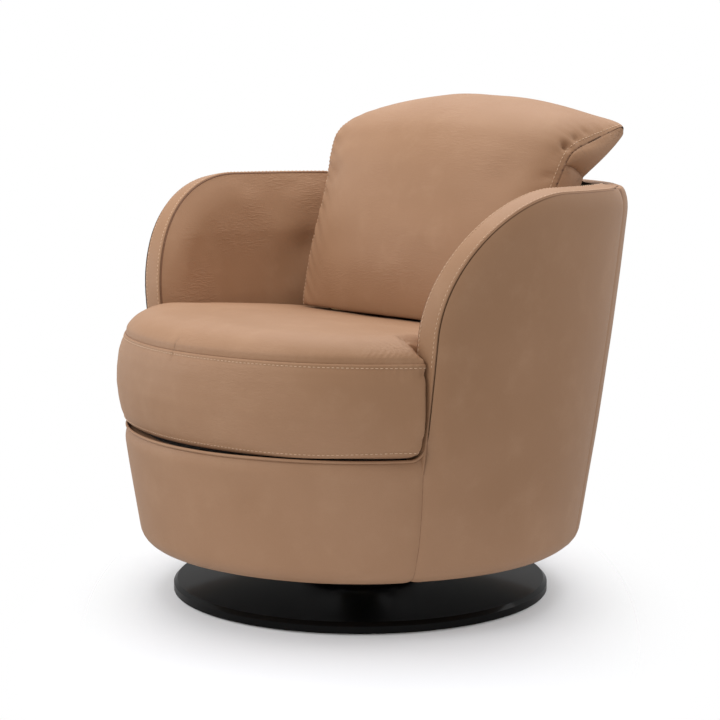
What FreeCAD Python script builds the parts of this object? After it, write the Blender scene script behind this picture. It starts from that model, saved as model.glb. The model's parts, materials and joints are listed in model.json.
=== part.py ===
import FreeCAD, Part
import math
import os
import Sketcher
from FreeCAD import Vector

# Swivel accent chair: an upholstered tub on a round black base, with a hinged headrest.
# Frame: +Z is up, the floor is z = 0, the swivel axis is the Z axis and the sitter faces -Y.
# "left" is the sitter's left, which is +X.


class Size:
    """A length or count: its number now, and the sheet expression that it follows."""

    def __init__(self, value, text):
        self.value = value
        self.text = text

    def __float__(self):
        return float(self.value)

    def __neg__(self):
        return Size(-self.value, "(-" + self.text + ")")

    def __add__(self, other):
        other = as_size(other)
        return Size(self.value + other.value, "(" + self.text + " + " + other.text + ")")

    def __sub__(self, other):
        other = as_size(other)
        return Size(self.value - other.value, "(" + self.text + " - " + other.text + ")")

    def __mul__(self, other):
        other = as_size(other)
        return Size(self.value * other.value, "(" + self.text + " * " + other.text + ")")

    def __truediv__(self, other):
        other = as_size(other)
        return Size(self.value / other.value, "(" + self.text + " / " + other.text + ")")

    __radd__ = __add__
    __rmul__ = __mul__


def as_size(number):
    if isinstance(number, Size):
        return number
    return Size(number, repr(number))


ZERO = Size(0, "0")

# Driving dimensions in millimetres, angles in degrees
DRIVING = {
    # round base
    "disc_radius": 316,
    "disc_top": 20,
    "disc_chamfer": 6,
    "disc_sheet": 3,
    "core_clearance": 0.3,
    "pad_thickness": 2,
    "pad_setback": 10,
    "rim_floor_gap": 0.5,
    # swivel post and its bolted flange
    "flange_radius": 100,
    "flange_thickness": 4,
    "flange_bolt_circle": 82,
    "flange_bolt_count": 6,
    "post_radius": 20,
    "post_collar_radius": 34,
    "post_collar_top": 34,
    "post_weld": 6,
    "post_thread_radius": 16,
    "post_thread_length": 18,
    # fasteners
    "bolt_radius": 4,
    "bolt_head_radius": 8,
    "bolt_head_height": 5,
    "bolt_socket_radius": 2.9,
    "bolt_socket_depth": 3,
    "bolt_hole_clearance": 0.3,
    "tee_nut_radius": 6,
    "tee_nut_flange_radius": 10,
    "tee_nut_flange": 1.6,
    "screw_radius": 2.2,
    "screw_head_radius": 4.5,
    "screw_head_height": 2.6,
    # thrust bearing
    "race_thickness": 3,
    "race_bore_clearance": 1,
    "ball_radius": 4,
    "ball_circle": 28,
    "ball_count": 12,
    "groove_depth": 1,
    "ball_play": 0.1,
    "ball_gap": 0.3,
    "cage_thickness": 3,
    "cage_width": 10,
    # hub under the tub, bushes, washer and nut
    "hub_radius": 32,
    "hub_plate_radius": 120,
    "hub_plate": 4,
    "hub_rib": 4,
    "hub_rib_reach": 92,
    "hub_rib_drop": 38,
    "hub_above_plate": 8,
    "hub_bolt_circle": 106,
    "hub_bolt_count": 4,
    "bush_wall": 4,
    "bush_length": 20,
    "bush_clearance": 0.05,
    "axial_play": 0.3,
    "washer_radius": 28,
    "washer_thickness": 3.4,
    "retaining_nut_flats": 46,
    "retaining_nut_height": 12,
    "thread_clearance": 0.1,
    # tub: outer radius of the upholstered wall at three heights
    "underside": 88,
    "wall_low_height": 100,
    "wall_low_radius": 367.9,
    "wall_mid_height": 400,
    "wall_mid_radius": 411,
    "rim_height": 681,
    "rim_radius": 442.9,
    "bottom_roll": 34,
    "bottom_turn_under": 21,
    # arch of the arms in side view
    "arm_front": 173,
    "arch_radius": 210,
    "back_seam_angle": 123,
    "fit_gap": 0.3,
    # layers of the wall, each measured inward from the outer surface
    "cover": 4,
    "frame_setback": 8,
    "frame_thickness": 20,
    "band_width": 40.6,
    "band_thickness": 12,
    "band_roll": 8,
    "piping_size": 5,
    "piping_stand": 1.5,
    "arm_pad_top_depth": 44,
    "arm_pad_mid_depth": 68,
    "arm_pad_low_depth": 56,
    "arm_pad_mid_height": 470,
    "arm_pad_roll": 12,
    # wooden frame
    "board_thickness": 15,
    "hub_hole_radius": 36,
    "window_border": 58,
    "window_sill": 60,
    "window_mullion_angle": 8,
    "window_back_margin_angle": 11,
    "back_sill_height": 330,
    "seat_ring_bottom": 250,
    "seat_ring_thickness": 18,
    "seat_ring_width": 66,
    "block_length": 60,
    "block_depth": 26,
    "block_height": 40,
    # seat deck
    "apron_top": 285,
    "apron_roll": 4,
    "apron_band": 6,
    "apron_piping_radius": 2.6,
    "strap_width": 48,
    "strap_pitch": 92,
    "strap_thickness": 1.5,
    "strap_long_count": 5,
    "strap_cross_count": 4,
    "strap_lap": 34,
    "deck_pad_gap": 0.3,
    # seat cushion
    "cushion_lift": 1.3,
    "cushion_cover": 3,
    "seat_bottom_seam": 292,
    "seat_mid_height": 360,
    "seat_top_seam": 433,
    "seat_crown_height": 456,
    "seat_bottom_front": 355,
    "seat_mid_front": 405,
    "seat_top_front": 371,
    "seat_bottom_ear": 318,
    "seat_mid_ear": 371,
    "seat_top_ear": 362,
    "ear_gap": 7,
    "seat_bottom_side": 330,
    "seat_mid_side": 338,
    "seat_top_side": 342,
    "seat_rear_tuck": 6,
    "seat_rear": 128,
    "seat_edge_inset": 10,
    "seat_crown_centre": 110,
    # reclined board that carries the back cushion and the headrest hinges
    "back_board_thickness": 12,
    "back_board_front": 238,
    "back_board_front_height": 660,
    "back_board_recline": 14,
    "back_board_top": 643,
    # back cushion
    "back_cushion_half_width": 270,
    "back_bottom": 459,
    "back_seam_low_front": 91,
    "back_seam_high_front": 162,
    "back_seam_high_height": 675,
    "back_cushion_top": 700,
    "back_crown": 45,
    "back_front_puff": 12,
    "back_bottom_roll": 24,
    "cushion_end_inset": 11,
    # headrest and its hinge
    "pivot_back": 235,
    "pivot_height": 713,
    "barrel_side_radius": 42,
    "barrel_middle_radius": 104,
    "barrel_clearance": 5,
    "barrel_low_angle": 200,
    "barrel_high_angle": 130,
    "headrest_reach": 96,
    "headrest_middle_reach": 118,
    "headrest_tip_height": 61,
    "headrest_middle_tip_height": 80,
    "headrest_tip_thickness": 26,
    "headrest_mid_height": 46,
    "headrest_crown": 68,
    "headrest_crease_back": 30,
    "headrest_crease_drop": 24,
    "hinge_offset": 150,
    "hinge_plate": 4,
    "hinge_gap": 0.3,
    "hinge_disc_radius": 19,
    "ratchet_tooth_count": 12,
    "ratchet_tooth_height": 2.5,
    "ratchet_start_angle": 95,
    "ratchet_sweep_angle": 110,
    "pin_radius": 4,
    "pin_clearance": 0.05,
    "pin_head_radius": 7,
    "pin_head_height": 2.5,
    "bracket_width": 28,
    "bracket_flange_width": 34,
    "bracket_flange_height": 86,
    "slot_clearance": 3,
    "slot_start_angle": 190,
    "slot_end_angle": 318,
    "head_board_start": 30,
    "head_board_length": 56,
    "head_board_thickness": 9,
    "head_board_half_width": 236,
    "head_board_angle": 28,
    "well_liner_thickness": 2,
    "well_liner_height": 652,
}

doc = FreeCAD.newDocument("swivel_accent_chair")
sheet = doc.addObject("Spreadsheet::Sheet", "dims")
for row, (alias, number) in enumerate(DRIVING.items(), start=1):
    sheet.set("A" + str(row), alias.replace("_", " "))
    sheet.set("B" + str(row), str(number))
    sheet.setAlias("B" + str(row), alias)
doc.recompute()


class Dims:
    """Reads each driving dimension from the sheet by its alias."""

    def __getattr__(self, alias):
        return Size(getattr(sheet, alias), "dims." + alias)


d = Dims()
nodes = []


# Helpers: parametric primitives and booleans

def bind(item, **sizes):
    """Bind properties to sheet expressions. x, y and z mean the item's place."""
    places = {"x": "Placement.Base.x", "y": "Placement.Base.y", "z": "Placement.Base.z"}
    for name, size in sizes.items():
        item.setExpression(places.get(name, name), as_size(size).text)
    return item


def cylinder(name, radius, height, x=ZERO, y=ZERO, z=ZERO):
    item = doc.addObject("Part::Cylinder", name)
    return bind(item, Radius=radius, Height=height, x=x, y=y, z=z)


def hex_prism(name, flats, height, z):
    item = doc.addObject("Part::Prism", name)
    item.Polygon = 6
    return bind(item, Circumradius=flats / (2 * math.cos(math.pi / 6)), Height=height, z=z)


def fuse(name, items):
    item = doc.addObject("Part::MultiFuse", name)
    item.Shapes = items
    return item


def group(name, items):
    """Separate identical solids that share one node."""
    item = doc.addObject("Part::Compound", name)
    item.Links = items
    return item


def cut(name, base, tools):
    item = doc.addObject("Part::Cut", name)
    item.Base = base
    item.Tool = tools[0] if len(tools) == 1 else fuse(name + "_tools", tools)
    return item


def mirrored(name, source):
    """The same piece on the sitter's right side."""
    item = doc.addObject("Part::Mirroring", name)
    item.Source = source
    item.Normal = Vector(1, 0, 0)
    item.Base = Vector(0, 0, 0)
    return item


def shaped(name, shape):
    item = doc.addObject("Part::Feature", name)
    item.Shape = shape
    return item


def node(name, item):
    item.Label = name
    nodes.append(item)
    return item


# Helpers: bodies made from sketches

def plane_of(body, role):
    for feature in body.Origin.OriginFeatures:
        if feature.Role == role:
            return feature


def new_body(name):
    return doc.addObject("PartDesign::Body", name + "_body")


def new_sketch(body, name, role, lift=ZERO):
    sketch = body.newObject("Sketcher::SketchObject", name)
    sketch.AttachmentSupport = [(plane_of(body, role), "")]
    sketch.MapMode = "FlatFace"
    sketch.setExpression("AttachmentOffset.Base.z", lift.text)
    return sketch


def pin_point(sketch, edge, end, x, y):
    """Hold one sketch point at its distances from the sketch origin."""
    for axis, axis_line, distance in (("X", -2, x), ("Y", -1, y)):
        if distance.value == 0:
            sketch.addConstraint(Sketcher.Constraint("PointOnObject", edge, end, axis_line))
            continue
        rule = Sketcher.Constraint("Distance" + axis, -1, 1, edge, end, distance.value)
        index = sketch.addConstraint(rule)
        sketch.setExpression("Constraints[" + str(index) + "]", distance.text)


def draw_polygon(sketch, points):
    """A closed outline of straight edges through points given as pairs of sizes."""
    corners = [Vector(float(x), float(y), 0) for x, y in points]
    for start, end in zip(corners, corners[1:] + corners[:1]):
        sketch.addGeometry(Part.LineSegment(start, end), False)
    count = len(points)
    for index in range(count):
        follows = (index + 1) % count
        sketch.addConstraint(Sketcher.Constraint("Coincident", index, 2, follows, 1))
    for index, (x, y) in enumerate(points):
        pin_point(sketch, index, 1, as_size(x), as_size(y))


def draw_circle(sketch, x, y, radius):
    place = Vector(float(x), float(y), 0)
    edge = sketch.addGeometry(Part.Circle(place, Vector(0, 0, 1), float(radius)), False)
    pin_point(sketch, edge, 3, as_size(x), as_size(y))
    index = sketch.addConstraint(Sketcher.Constraint("Radius", edge, float(radius)))
    sketch.setExpression("Constraints[" + str(index) + "]", as_size(radius).text)


def revolved(body, name, points):
    """A turned piece: an outline of radius and height pairs, turned about the swivel axis."""
    sketch = new_sketch(body, name + "_section", "XZ_Plane")
    draw_polygon(sketch, points)
    feature = body.newObject("PartDesign::Revolution", name + "_turned")
    feature.Profile = sketch
    feature.ReferenceAxis = (sketch, ["V_Axis"])
    feature.Angle = 360
    return feature


def drilled(body, name, circle_radius, hole_radius, count, top):
    """A ring of through holes about the swivel axis."""
    sketch = new_sketch(body, name + "_centre", "XY_Plane", top)
    draw_circle(sketch, circle_radius, ZERO, hole_radius)
    hole = body.newObject("PartDesign::Pocket", name + "_hole")
    hole.Profile = sketch
    hole.Type = 1
    hole.Midplane = True
    pattern = body.newObject("PartDesign::PolarPattern", name + "_ring")
    pattern.Originals = [hole]
    pattern.Axis = (sketch, ["N_Axis"])
    pattern.Angle = 360
    pattern.setExpression("Occurrences", count.text)
    body.Tip = pattern
    return pattern


def bolt(name, x, y, under_head, length, up=True):
    """A button head bolt. With up, the head is on top; otherwise it hangs below."""
    start = under_head - length if up else under_head
    shank = cylinder(name + "_shank", d.bolt_radius, length, x, y, start)
    head_start = under_head if up else under_head - d.bolt_head_height
    head = cylinder(name + "_head", d.bolt_head_radius, d.bolt_head_height, x, y, head_start)
    recess = d.bolt_head_height - d.bolt_socket_depth
    socket_start = head_start + recess if up else head_start
    socket = cylinder(name + "_socket", d.bolt_socket_radius, d.bolt_socket_depth, x, y, socket_start)
    return cut(name, fuse(name + "_blank", [shank, head]), [socket])


def ring_places(radius, count, turn=0.0):
    """Pairs of sizes round a circle, the first on +X unless turned."""
    for index in range(int(count.value)):
        angle = 2 * math.pi * (index + turn) / int(count.value)
        yield radius * math.cos(angle), radius * math.sin(angle)


# Helpers: the upholstered wall, a surface of revolution inside an arch seen from the side

def circle_through(first, second, third):
    """Centre and radius of the circle through three radius and height pairs."""
    (ax, ay), (bx, by), (cx, cy) = first, second, third
    a2 = ax * ax + ay * ay
    b2 = bx * bx + by * by
    c2 = cx * cx + cy * cy
    area = 2 * (ax * (by - cy) + bx * (cy - ay) + cx * (ay - by))
    x = (a2 * (by - cy) + b2 * (cy - ay) + c2 * (ay - by)) / area
    y = (a2 * (cx - bx) + b2 * (ax - cx) + c2 * (bx - ax)) / area
    return x, y, math.hypot(ax - x, ay - y)


WALL_X, WALL_Y, WALL_BEND = circle_through(
    (float(d.wall_low_radius), float(d.wall_low_height)),
    (float(d.wall_mid_radius), float(d.wall_mid_height)),
    (float(d.rim_radius), float(d.rim_height)),
)


# The wall bellies out where the curve's centre lies inside it, and hollows where it lies outside
WALL_SIDE = math.copysign(1, float(d.wall_low_radius) - WALL_X)


def wall_radius(height, depth=0.0):
    """Radius of the wall at a height, a depth inside its outer surface."""
    rise = float(height) - WALL_Y
    return WALL_X + WALL_SIDE * math.sqrt(WALL_BEND ** 2 - rise ** 2) - float(depth)


def section_point(radius, height):
    return Vector(float(radius), 0, float(height))


def wall_edge(low, high, depth):
    """The wall's curve between two heights, a depth inside."""
    middle = (float(low) + float(high)) / 2
    return Part.Arc(
        section_point(wall_radius(low, depth), low),
        section_point(wall_radius(middle, depth), middle),
        section_point(wall_radius(high, depth), high),
    ).toShape()


def line(start, end):
    return Part.LineSegment(start, end).toShape()


def arc(start, middle, end):
    return Part.Arc(start, middle, end).toShape()


def face_of(edges):
    return Part.Face(Part.Wire(Part.__sortEdges__(edges)))


def corner_arc(corner, start_way, end_way, radius):
    """A round between two straight ways that leave a corner: start, middle and end points."""
    start_way = Vector(start_way).normalize()
    end_way = Vector(end_way).normalize()
    half = start_way.getAngle(end_way) / 2
    reach = radius / math.tan(half)
    inward = (start_way + end_way).normalize()
    centre = corner + inward * (radius / math.sin(half))
    return corner + start_way * reach, centre - inward * radius, corner + end_way * reach


def turned(face, start_angle, end_angle):
    """Turn a section about the swivel axis. Angles are from the front towards the left."""
    axis = Vector(0, 0, 1)
    face = face.copy()
    face.rotate(Vector(0, 0, 0), axis, start_angle - 90)
    return face.revolve(Vector(0, 0, 0), axis, end_angle - start_angle)


def wall_piece(depth_out, depth_in, low, high, start_angle, end_angle):
    """A plain piece of wall between two depths and two heights."""
    outer = wall_edge(low, high, depth_out)
    inner = wall_edge(low, high, depth_in)
    bottom = line(
        section_point(wall_radius(low, depth_in), low),
        section_point(wall_radius(low, depth_out), low),
    )
    top = line(
        section_point(wall_radius(high, depth_in), high),
        section_point(wall_radius(high, depth_out), high),
    )
    return turned(face_of([outer, top, inner, bottom]), start_angle, end_angle)


def rolled_bottom(depth, under, roll):
    """Points where the wall's surface turns under the tub: on the flat, mid-roll, on the wall."""
    corner = section_point(wall_radius(under, depth), under)
    above = float(under) + float(roll)
    wall_way = section_point(wall_radius(above, depth), above) - corner
    flat, middle, side = corner_arc(corner, Vector(-1, 0, 0), wall_way, float(roll))
    side = section_point(wall_radius(side.z, depth), side.z)
    return flat, middle, side


def skin_section(top_edges, top_height, top_inner_height):
    """Section of an outer cover that turns under the tub. top_edges close it at the top."""
    flat, middle, side = rolled_bottom(0, d.underside, d.bottom_roll)
    inner_under = float(d.underside) + float(d.cover)
    inner_roll = float(d.bottom_roll) - float(d.cover)
    inner_flat, inner_middle, inner_side = rolled_bottom(d.cover, inner_under, inner_roll)
    under_edge = wall_radius(d.underside) - float(d.bottom_roll) - float(d.bottom_turn_under)
    outer_corner = section_point(under_edge, d.underside)
    inner_corner = section_point(under_edge, inner_under)
    edges = [
        line(outer_corner, flat),
        arc(flat, middle, side),
        wall_edge(side.z, top_height, 0),
        wall_edge(inner_side.z, top_inner_height, d.cover),
        arc(inner_side, inner_middle, inner_flat),
        line(inner_flat, inner_corner),
        line(inner_corner, outer_corner),
    ]
    return face_of(edges + top_edges)


def arch(inset):
    """Everything behind and under the arms' arch, as seen from the side, moved in by an inset."""
    inset = float(inset)
    front = -float(d.arm_front) + inset
    top = float(d.rim_height) - inset
    back = float(d.rim_radius) * 1.2
    low = 0.0
    roll = float(d.arch_radius) - inset
    corner = Vector(0, front, top)
    start, middle, end = corner_arc(corner, Vector(0, 0, -1), Vector(0, 1, 0), roll)
    edges = [
        line(Vector(0, front, low), start),
        arc(start, middle, end),
        line(end, Vector(0, back, top)),
        line(Vector(0, back, top), Vector(0, back, low)),
        line(Vector(0, back, low), Vector(0, front, low)),
    ]
    profile = face_of(edges)
    half_width = float(d.rim_radius) * 1.2
    profile.translate(Vector(-half_width, 0, 0))
    return profile.extrude(Vector(2 * half_width, 0, 0))


def ahead_of_arms():
    """Everything in front of the plane of the arm fronts."""
    reach = float(d.rim_radius) * 1.2
    block = Part.makeBox(2 * reach, reach, float(d.rim_height) * 1.2)
    block.translate(Vector(-reach, -reach - float(d.arm_front) - float(d.fit_gap), 0))
    return block


def inside_wall(depth, low, high):
    """The solid space inside the wall at a depth, from its rolled bottom."""
    under = float(d.underside) + float(depth)
    flat, middle, side = rolled_bottom(depth, under, float(d.bottom_roll) - float(depth))
    edges = [
        line(section_point(0, under), flat),
        arc(flat, middle, side),
        wall_edge(side.z, high, depth),
        line(section_point(wall_radius(high, depth), high), section_point(0, high)),
        line(section_point(0, high), section_point(0, under)),
    ]
    solid = turned(face_of(edges), 0, 360)
    if float(low) <= under:
        return solid
    reach = float(d.rim_radius) * 1.2
    slab = Part.makeBox(2 * reach, 2 * reach, float(high) - float(low))
    slab.translate(Vector(-reach, -reach, float(low)))
    return solid.common(slab)


def board_front(height):
    """Distance behind the swivel axis of the back board's front face at a height."""
    slope = math.tan(math.radians(float(d.back_board_recline)))
    return float(d.back_board_front) + slope * (float(height) - float(d.back_board_front_height))


def leaning_slab(start, end, low, high):
    """A full-width slab parallel to the back board, between two offsets from its front face."""
    slope = math.cos(math.radians(float(d.back_board_recline)))
    reach = float(d.rim_radius) * 1.2
    corners = [
        Vector(-reach, board_front(low) + start / slope, float(low)),
        Vector(-reach, board_front(high) + start / slope, float(high)),
        Vector(-reach, board_front(high) + end / slope, float(high)),
        Vector(-reach, board_front(low) + end / slope, float(low)),
    ]
    profile = Part.Face(Part.makePolygon(corners + corners[:1]))
    return profile.extrude(Vector(2 * reach, 0, 0))


# Round base: floor pad, board core and steel cover

def build_base():
    node("floor_pad", cylinder("floor_pad_disc", d.disc_radius - d.pad_setback, d.pad_thickness))

    rim = d.disc_radius
    top = d.disc_top
    chamfer = d.disc_chamfer
    sheet_in = d.disc_sheet
    lip = d.pad_thickness + d.rim_floor_gap
    body = new_body("base_cover")
    revolved(body, "base_cover", [
        (ZERO, top),
        (rim - chamfer, top),
        (rim, top - chamfer),
        (rim, lip),
        (rim - sheet_in, lip),
        (rim - sheet_in, top - chamfer - 0.414 * sheet_in),
        (rim - chamfer - 0.414 * sheet_in, top - sheet_in),
        (ZERO, top - sheet_in),
    ])
    hole = d.bolt_radius + d.bolt_hole_clearance
    drilled(body, "base_cover", d.flange_bolt_circle, hole, d.flange_bolt_count, top)
    node("base_cover", body)

    core = cylinder(
        "base_core_disc",
        rim - chamfer - 0.414 * sheet_in - d.core_clearance,
        top - sheet_in - d.pad_thickness,
        z=d.pad_thickness,
    )
    tools = []
    nuts = []
    nut_seat = d.pad_thickness
    nut_length = (top - sheet_in - d.pad_thickness) * 0.6
    places = ring_places(d.flange_bolt_circle, d.flange_bolt_count)
    for index, (x, y) in enumerate(places):
        tag = "flange_nut_" + str(index)
        tools.append(cylinder(tag + "_way", hole, top - d.pad_thickness, x, y, nut_seat))
        barrel = d.tee_nut_radius
        tools.append(cylinder(tag + "_bore", barrel, nut_length, x, y, nut_seat))
        wide = d.tee_nut_flange_radius
        tools.append(cylinder(tag + "_recess", wide, d.tee_nut_flange, x, y, nut_seat))
        stem = cylinder(tag + "_stem", barrel, nut_length, x, y, nut_seat)
        brim = cylinder(tag + "_brim", wide, d.tee_nut_flange, x, y, nut_seat)
        thread = cylinder(tag + "_thread", d.bolt_radius, nut_length, x, y, nut_seat)
        nuts.append(cut(tag, fuse(tag + "_blank", [stem, brim]), [thread]))
    node("base_core", cut("base_core_board", core, tools))
    node("flange_nuts", group("flange_nut_set", nuts))


# Swivel post with its flange, and the bolts that hold it to the base

def build_post():
    base = d.disc_top
    plate_top = base + d.flange_thickness
    thread_start = d.underside + d.cover + d.fit_gap + d.hub_above_plate + d.axial_play
    body = new_body("swivel_post")
    revolved(body, "swivel_post", [
        (ZERO, base),
        (d.flange_radius, base),
        (d.flange_radius, plate_top),
        (d.post_collar_radius + d.post_weld, plate_top),
        (d.post_collar_radius, plate_top + d.post_weld),
        (d.post_collar_radius, d.post_collar_top),
        (d.post_radius, d.post_collar_top),
        (d.post_radius, thread_start),
        (d.post_thread_radius, thread_start),
        (d.post_thread_radius, thread_start + d.post_thread_length),
        (ZERO, thread_start + d.post_thread_length),
    ])
    hole = d.bolt_radius + d.bolt_hole_clearance
    drilled(body, "swivel_post", d.flange_bolt_circle, hole, d.flange_bolt_count, plate_top)
    node("swivel_post", body)

    bolts = []
    length = plate_top - d.pad_thickness - d.disc_sheet
    for index, (x, y) in enumerate(ring_places(d.flange_bolt_circle, d.flange_bolt_count)):
        bolts.append(bolt("flange_bolt_" + str(index), x, y, plate_top, length))
    node("flange_bolts", group("flange_bolt_set", bolts))


# Thrust bearing that carries the tub

def build_bearing():
    seat = d.post_collar_top
    bore = d.post_radius + d.race_bore_clearance
    race = d.race_thickness
    centre = seat + race - d.groove_depth + d.ball_radius + d.ball_play
    upper = centre + centre - seat - race

    for name, start in (("lower_race", seat), ("upper_race", upper)):
        ring = cylinder(name + "_ring", d.post_collar_radius, race, z=start)
        hole = cylinder(name + "_bore", bore, race, z=start)
        groove = doc.addObject("Part::Torus", name + "_groove")
        play = d.ball_play if name == "lower_race" else d.ball_gap
        bind(groove, Radius1=d.ball_circle, Radius2=d.ball_radius + play, z=centre)
        node(name, cut(name + "_turned", ring, [hole, groove]))

    balls = []
    pockets = []
    for index, (x, y) in enumerate(ring_places(d.ball_circle, d.ball_count)):
        ball = doc.addObject("Part::Sphere", "ball_" + str(index))
        balls.append(bind(ball, Radius=d.ball_radius, x=x, y=y, z=centre - d.ball_play))
        pocket = cylinder(
            "ball_pocket_" + str(index),
            d.ball_radius + d.ball_gap,
            d.cage_thickness,
            x,
            y,
            centre - 0.5 * d.cage_thickness,
        )
        pockets.append(pocket)
    node("bearing_balls", group("bearing_ball_set", balls))
    cage_low = centre - 0.5 * d.cage_thickness
    half = 0.5 * d.cage_width
    cage = cylinder("cage_ring", d.ball_circle + half, d.cage_thickness, z=cage_low)
    cage_bore = cylinder("cage_bore", d.ball_circle - half, d.cage_thickness, z=cage_low)
    node("ball_cage", cut("ball_cage_ring", cage, [cage_bore] + pockets))
    return upper + race


# Hub, bushes, retaining washer and nut, and the bolts into the tub's bottom board

def build_hub(hub_bottom):
    plate_top = d.underside + d.cover + d.fit_gap
    plate_bottom = plate_top - d.hub_plate
    hub_top = plate_top + d.hub_above_plate
    bore = d.post_radius + d.bush_clearance + d.bush_wall
    body = new_body("swivel_hub")
    revolved(body, "swivel_hub", [
        (bore, hub_bottom),
        (d.hub_radius, hub_bottom),
        (d.hub_radius, plate_bottom),
        (d.hub_plate_radius, plate_bottom),
        (d.hub_plate_radius, plate_top),
        (d.hub_radius, plate_top),
        (d.hub_radius, hub_top),
        (bore, hub_top),
    ])
    rib_sketch = new_sketch(body, "swivel_hub_rib_outline", "XZ_Plane")
    draw_polygon(rib_sketch, [
        (d.hub_radius - 0.5 * d.bush_wall, plate_bottom - d.hub_rib_drop),
        (d.hub_rib_reach, plate_bottom),
        (d.hub_rib_reach, plate_bottom + 0.5 * d.hub_plate),
        (d.hub_radius - 0.5 * d.bush_wall, plate_bottom + 0.5 * d.hub_plate),
    ])
    rib = body.newObject("PartDesign::Pad", "swivel_hub_rib")
    rib.Profile = rib_sketch
    rib.Midplane = True
    rib.setExpression("Length", d.hub_rib.text)
    ribs = body.newObject("PartDesign::PolarPattern", "swivel_hub_ribs")
    ribs.Originals = [rib]
    ribs.Axis = (rib_sketch, ["V_Axis"])
    ribs.Angle = 360
    ribs.setExpression("Occurrences", d.hub_bolt_count.text)
    hole = d.bolt_radius + d.bolt_hole_clearance
    turn_sketch = new_sketch(body, "swivel_hub_bolt_centre", "XY_Plane", plate_top)
    diagonal = math.cos(math.pi / 4)
    draw_circle(turn_sketch, d.hub_bolt_circle * diagonal, d.hub_bolt_circle * diagonal, hole)
    pocket = body.newObject("PartDesign::Pocket", "swivel_hub_bolt_hole")
    pocket.Profile = turn_sketch
    pocket.Type = 1
    pocket.Midplane = True
    pattern = body.newObject("PartDesign::PolarPattern", "swivel_hub_bolt_holes")
    pattern.Originals = [pocket]
    pattern.Axis = (turn_sketch, ["N_Axis"])
    pattern.Angle = 360
    pattern.setExpression("Occurrences", d.hub_bolt_count.text)
    body.Tip = pattern
    node("swivel_hub", body)

    inner = d.post_radius + d.bush_clearance
    for name, start in (("lower_bush", hub_bottom), ("upper_bush", hub_top - d.bush_length)):
        bush = new_body(name)
        revolved(bush, name, [
            (inner, start),
            (bore, start),
            (bore, start + d.bush_length),
            (inner, start + d.bush_length),
        ])
        node(name, bush)

    washer_low = hub_top + d.axial_play
    washer = new_body("retaining_washer")
    thread_hole = d.post_thread_radius + d.thread_clearance
    revolved(washer, "retaining_washer", [
        (thread_hole, washer_low),
        (d.washer_radius, washer_low),
        (d.washer_radius, washer_low + d.washer_thickness),
        (thread_hole, washer_low + d.washer_thickness),
    ])
    node("retaining_washer", washer)
    nut_low = washer_low + d.washer_thickness
    nut = hex_prism("retaining_nut_hex", d.retaining_nut_flats, d.retaining_nut_height, nut_low)
    nut_bore = cylinder("retaining_nut_bore", thread_hole, d.retaining_nut_height, z=nut_low)
    node("retaining_nut", cut("retaining_nut_cut", nut, [nut_bore]))

    bolts = []
    nuts = []
    board_top = plate_top + d.board_thickness
    length = board_top + d.bolt_radius - plate_bottom
    places = list(ring_places(d.hub_bolt_circle, d.hub_bolt_count, 0.5))
    for index, (x, y) in enumerate(places):
        bolts.append(bolt("hub_bolt_" + str(index), x, y, plate_bottom, length, up=False))
        tag = "hub_nut_" + str(index)
        brim = cylinder(tag + "_brim", d.tee_nut_flange_radius, d.tee_nut_flange, x, y, board_top)
        way = cylinder(tag + "_way", d.bolt_radius, d.tee_nut_flange, x, y, board_top)
        nuts.append(cut(tag, brim, [way]))
    node("hub_bolts", group("hub_bolt_set", bolts))
    node("hub_nuts", group("hub_nut_set", nuts))
    return places


# Wooden frame of the tub

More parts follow.
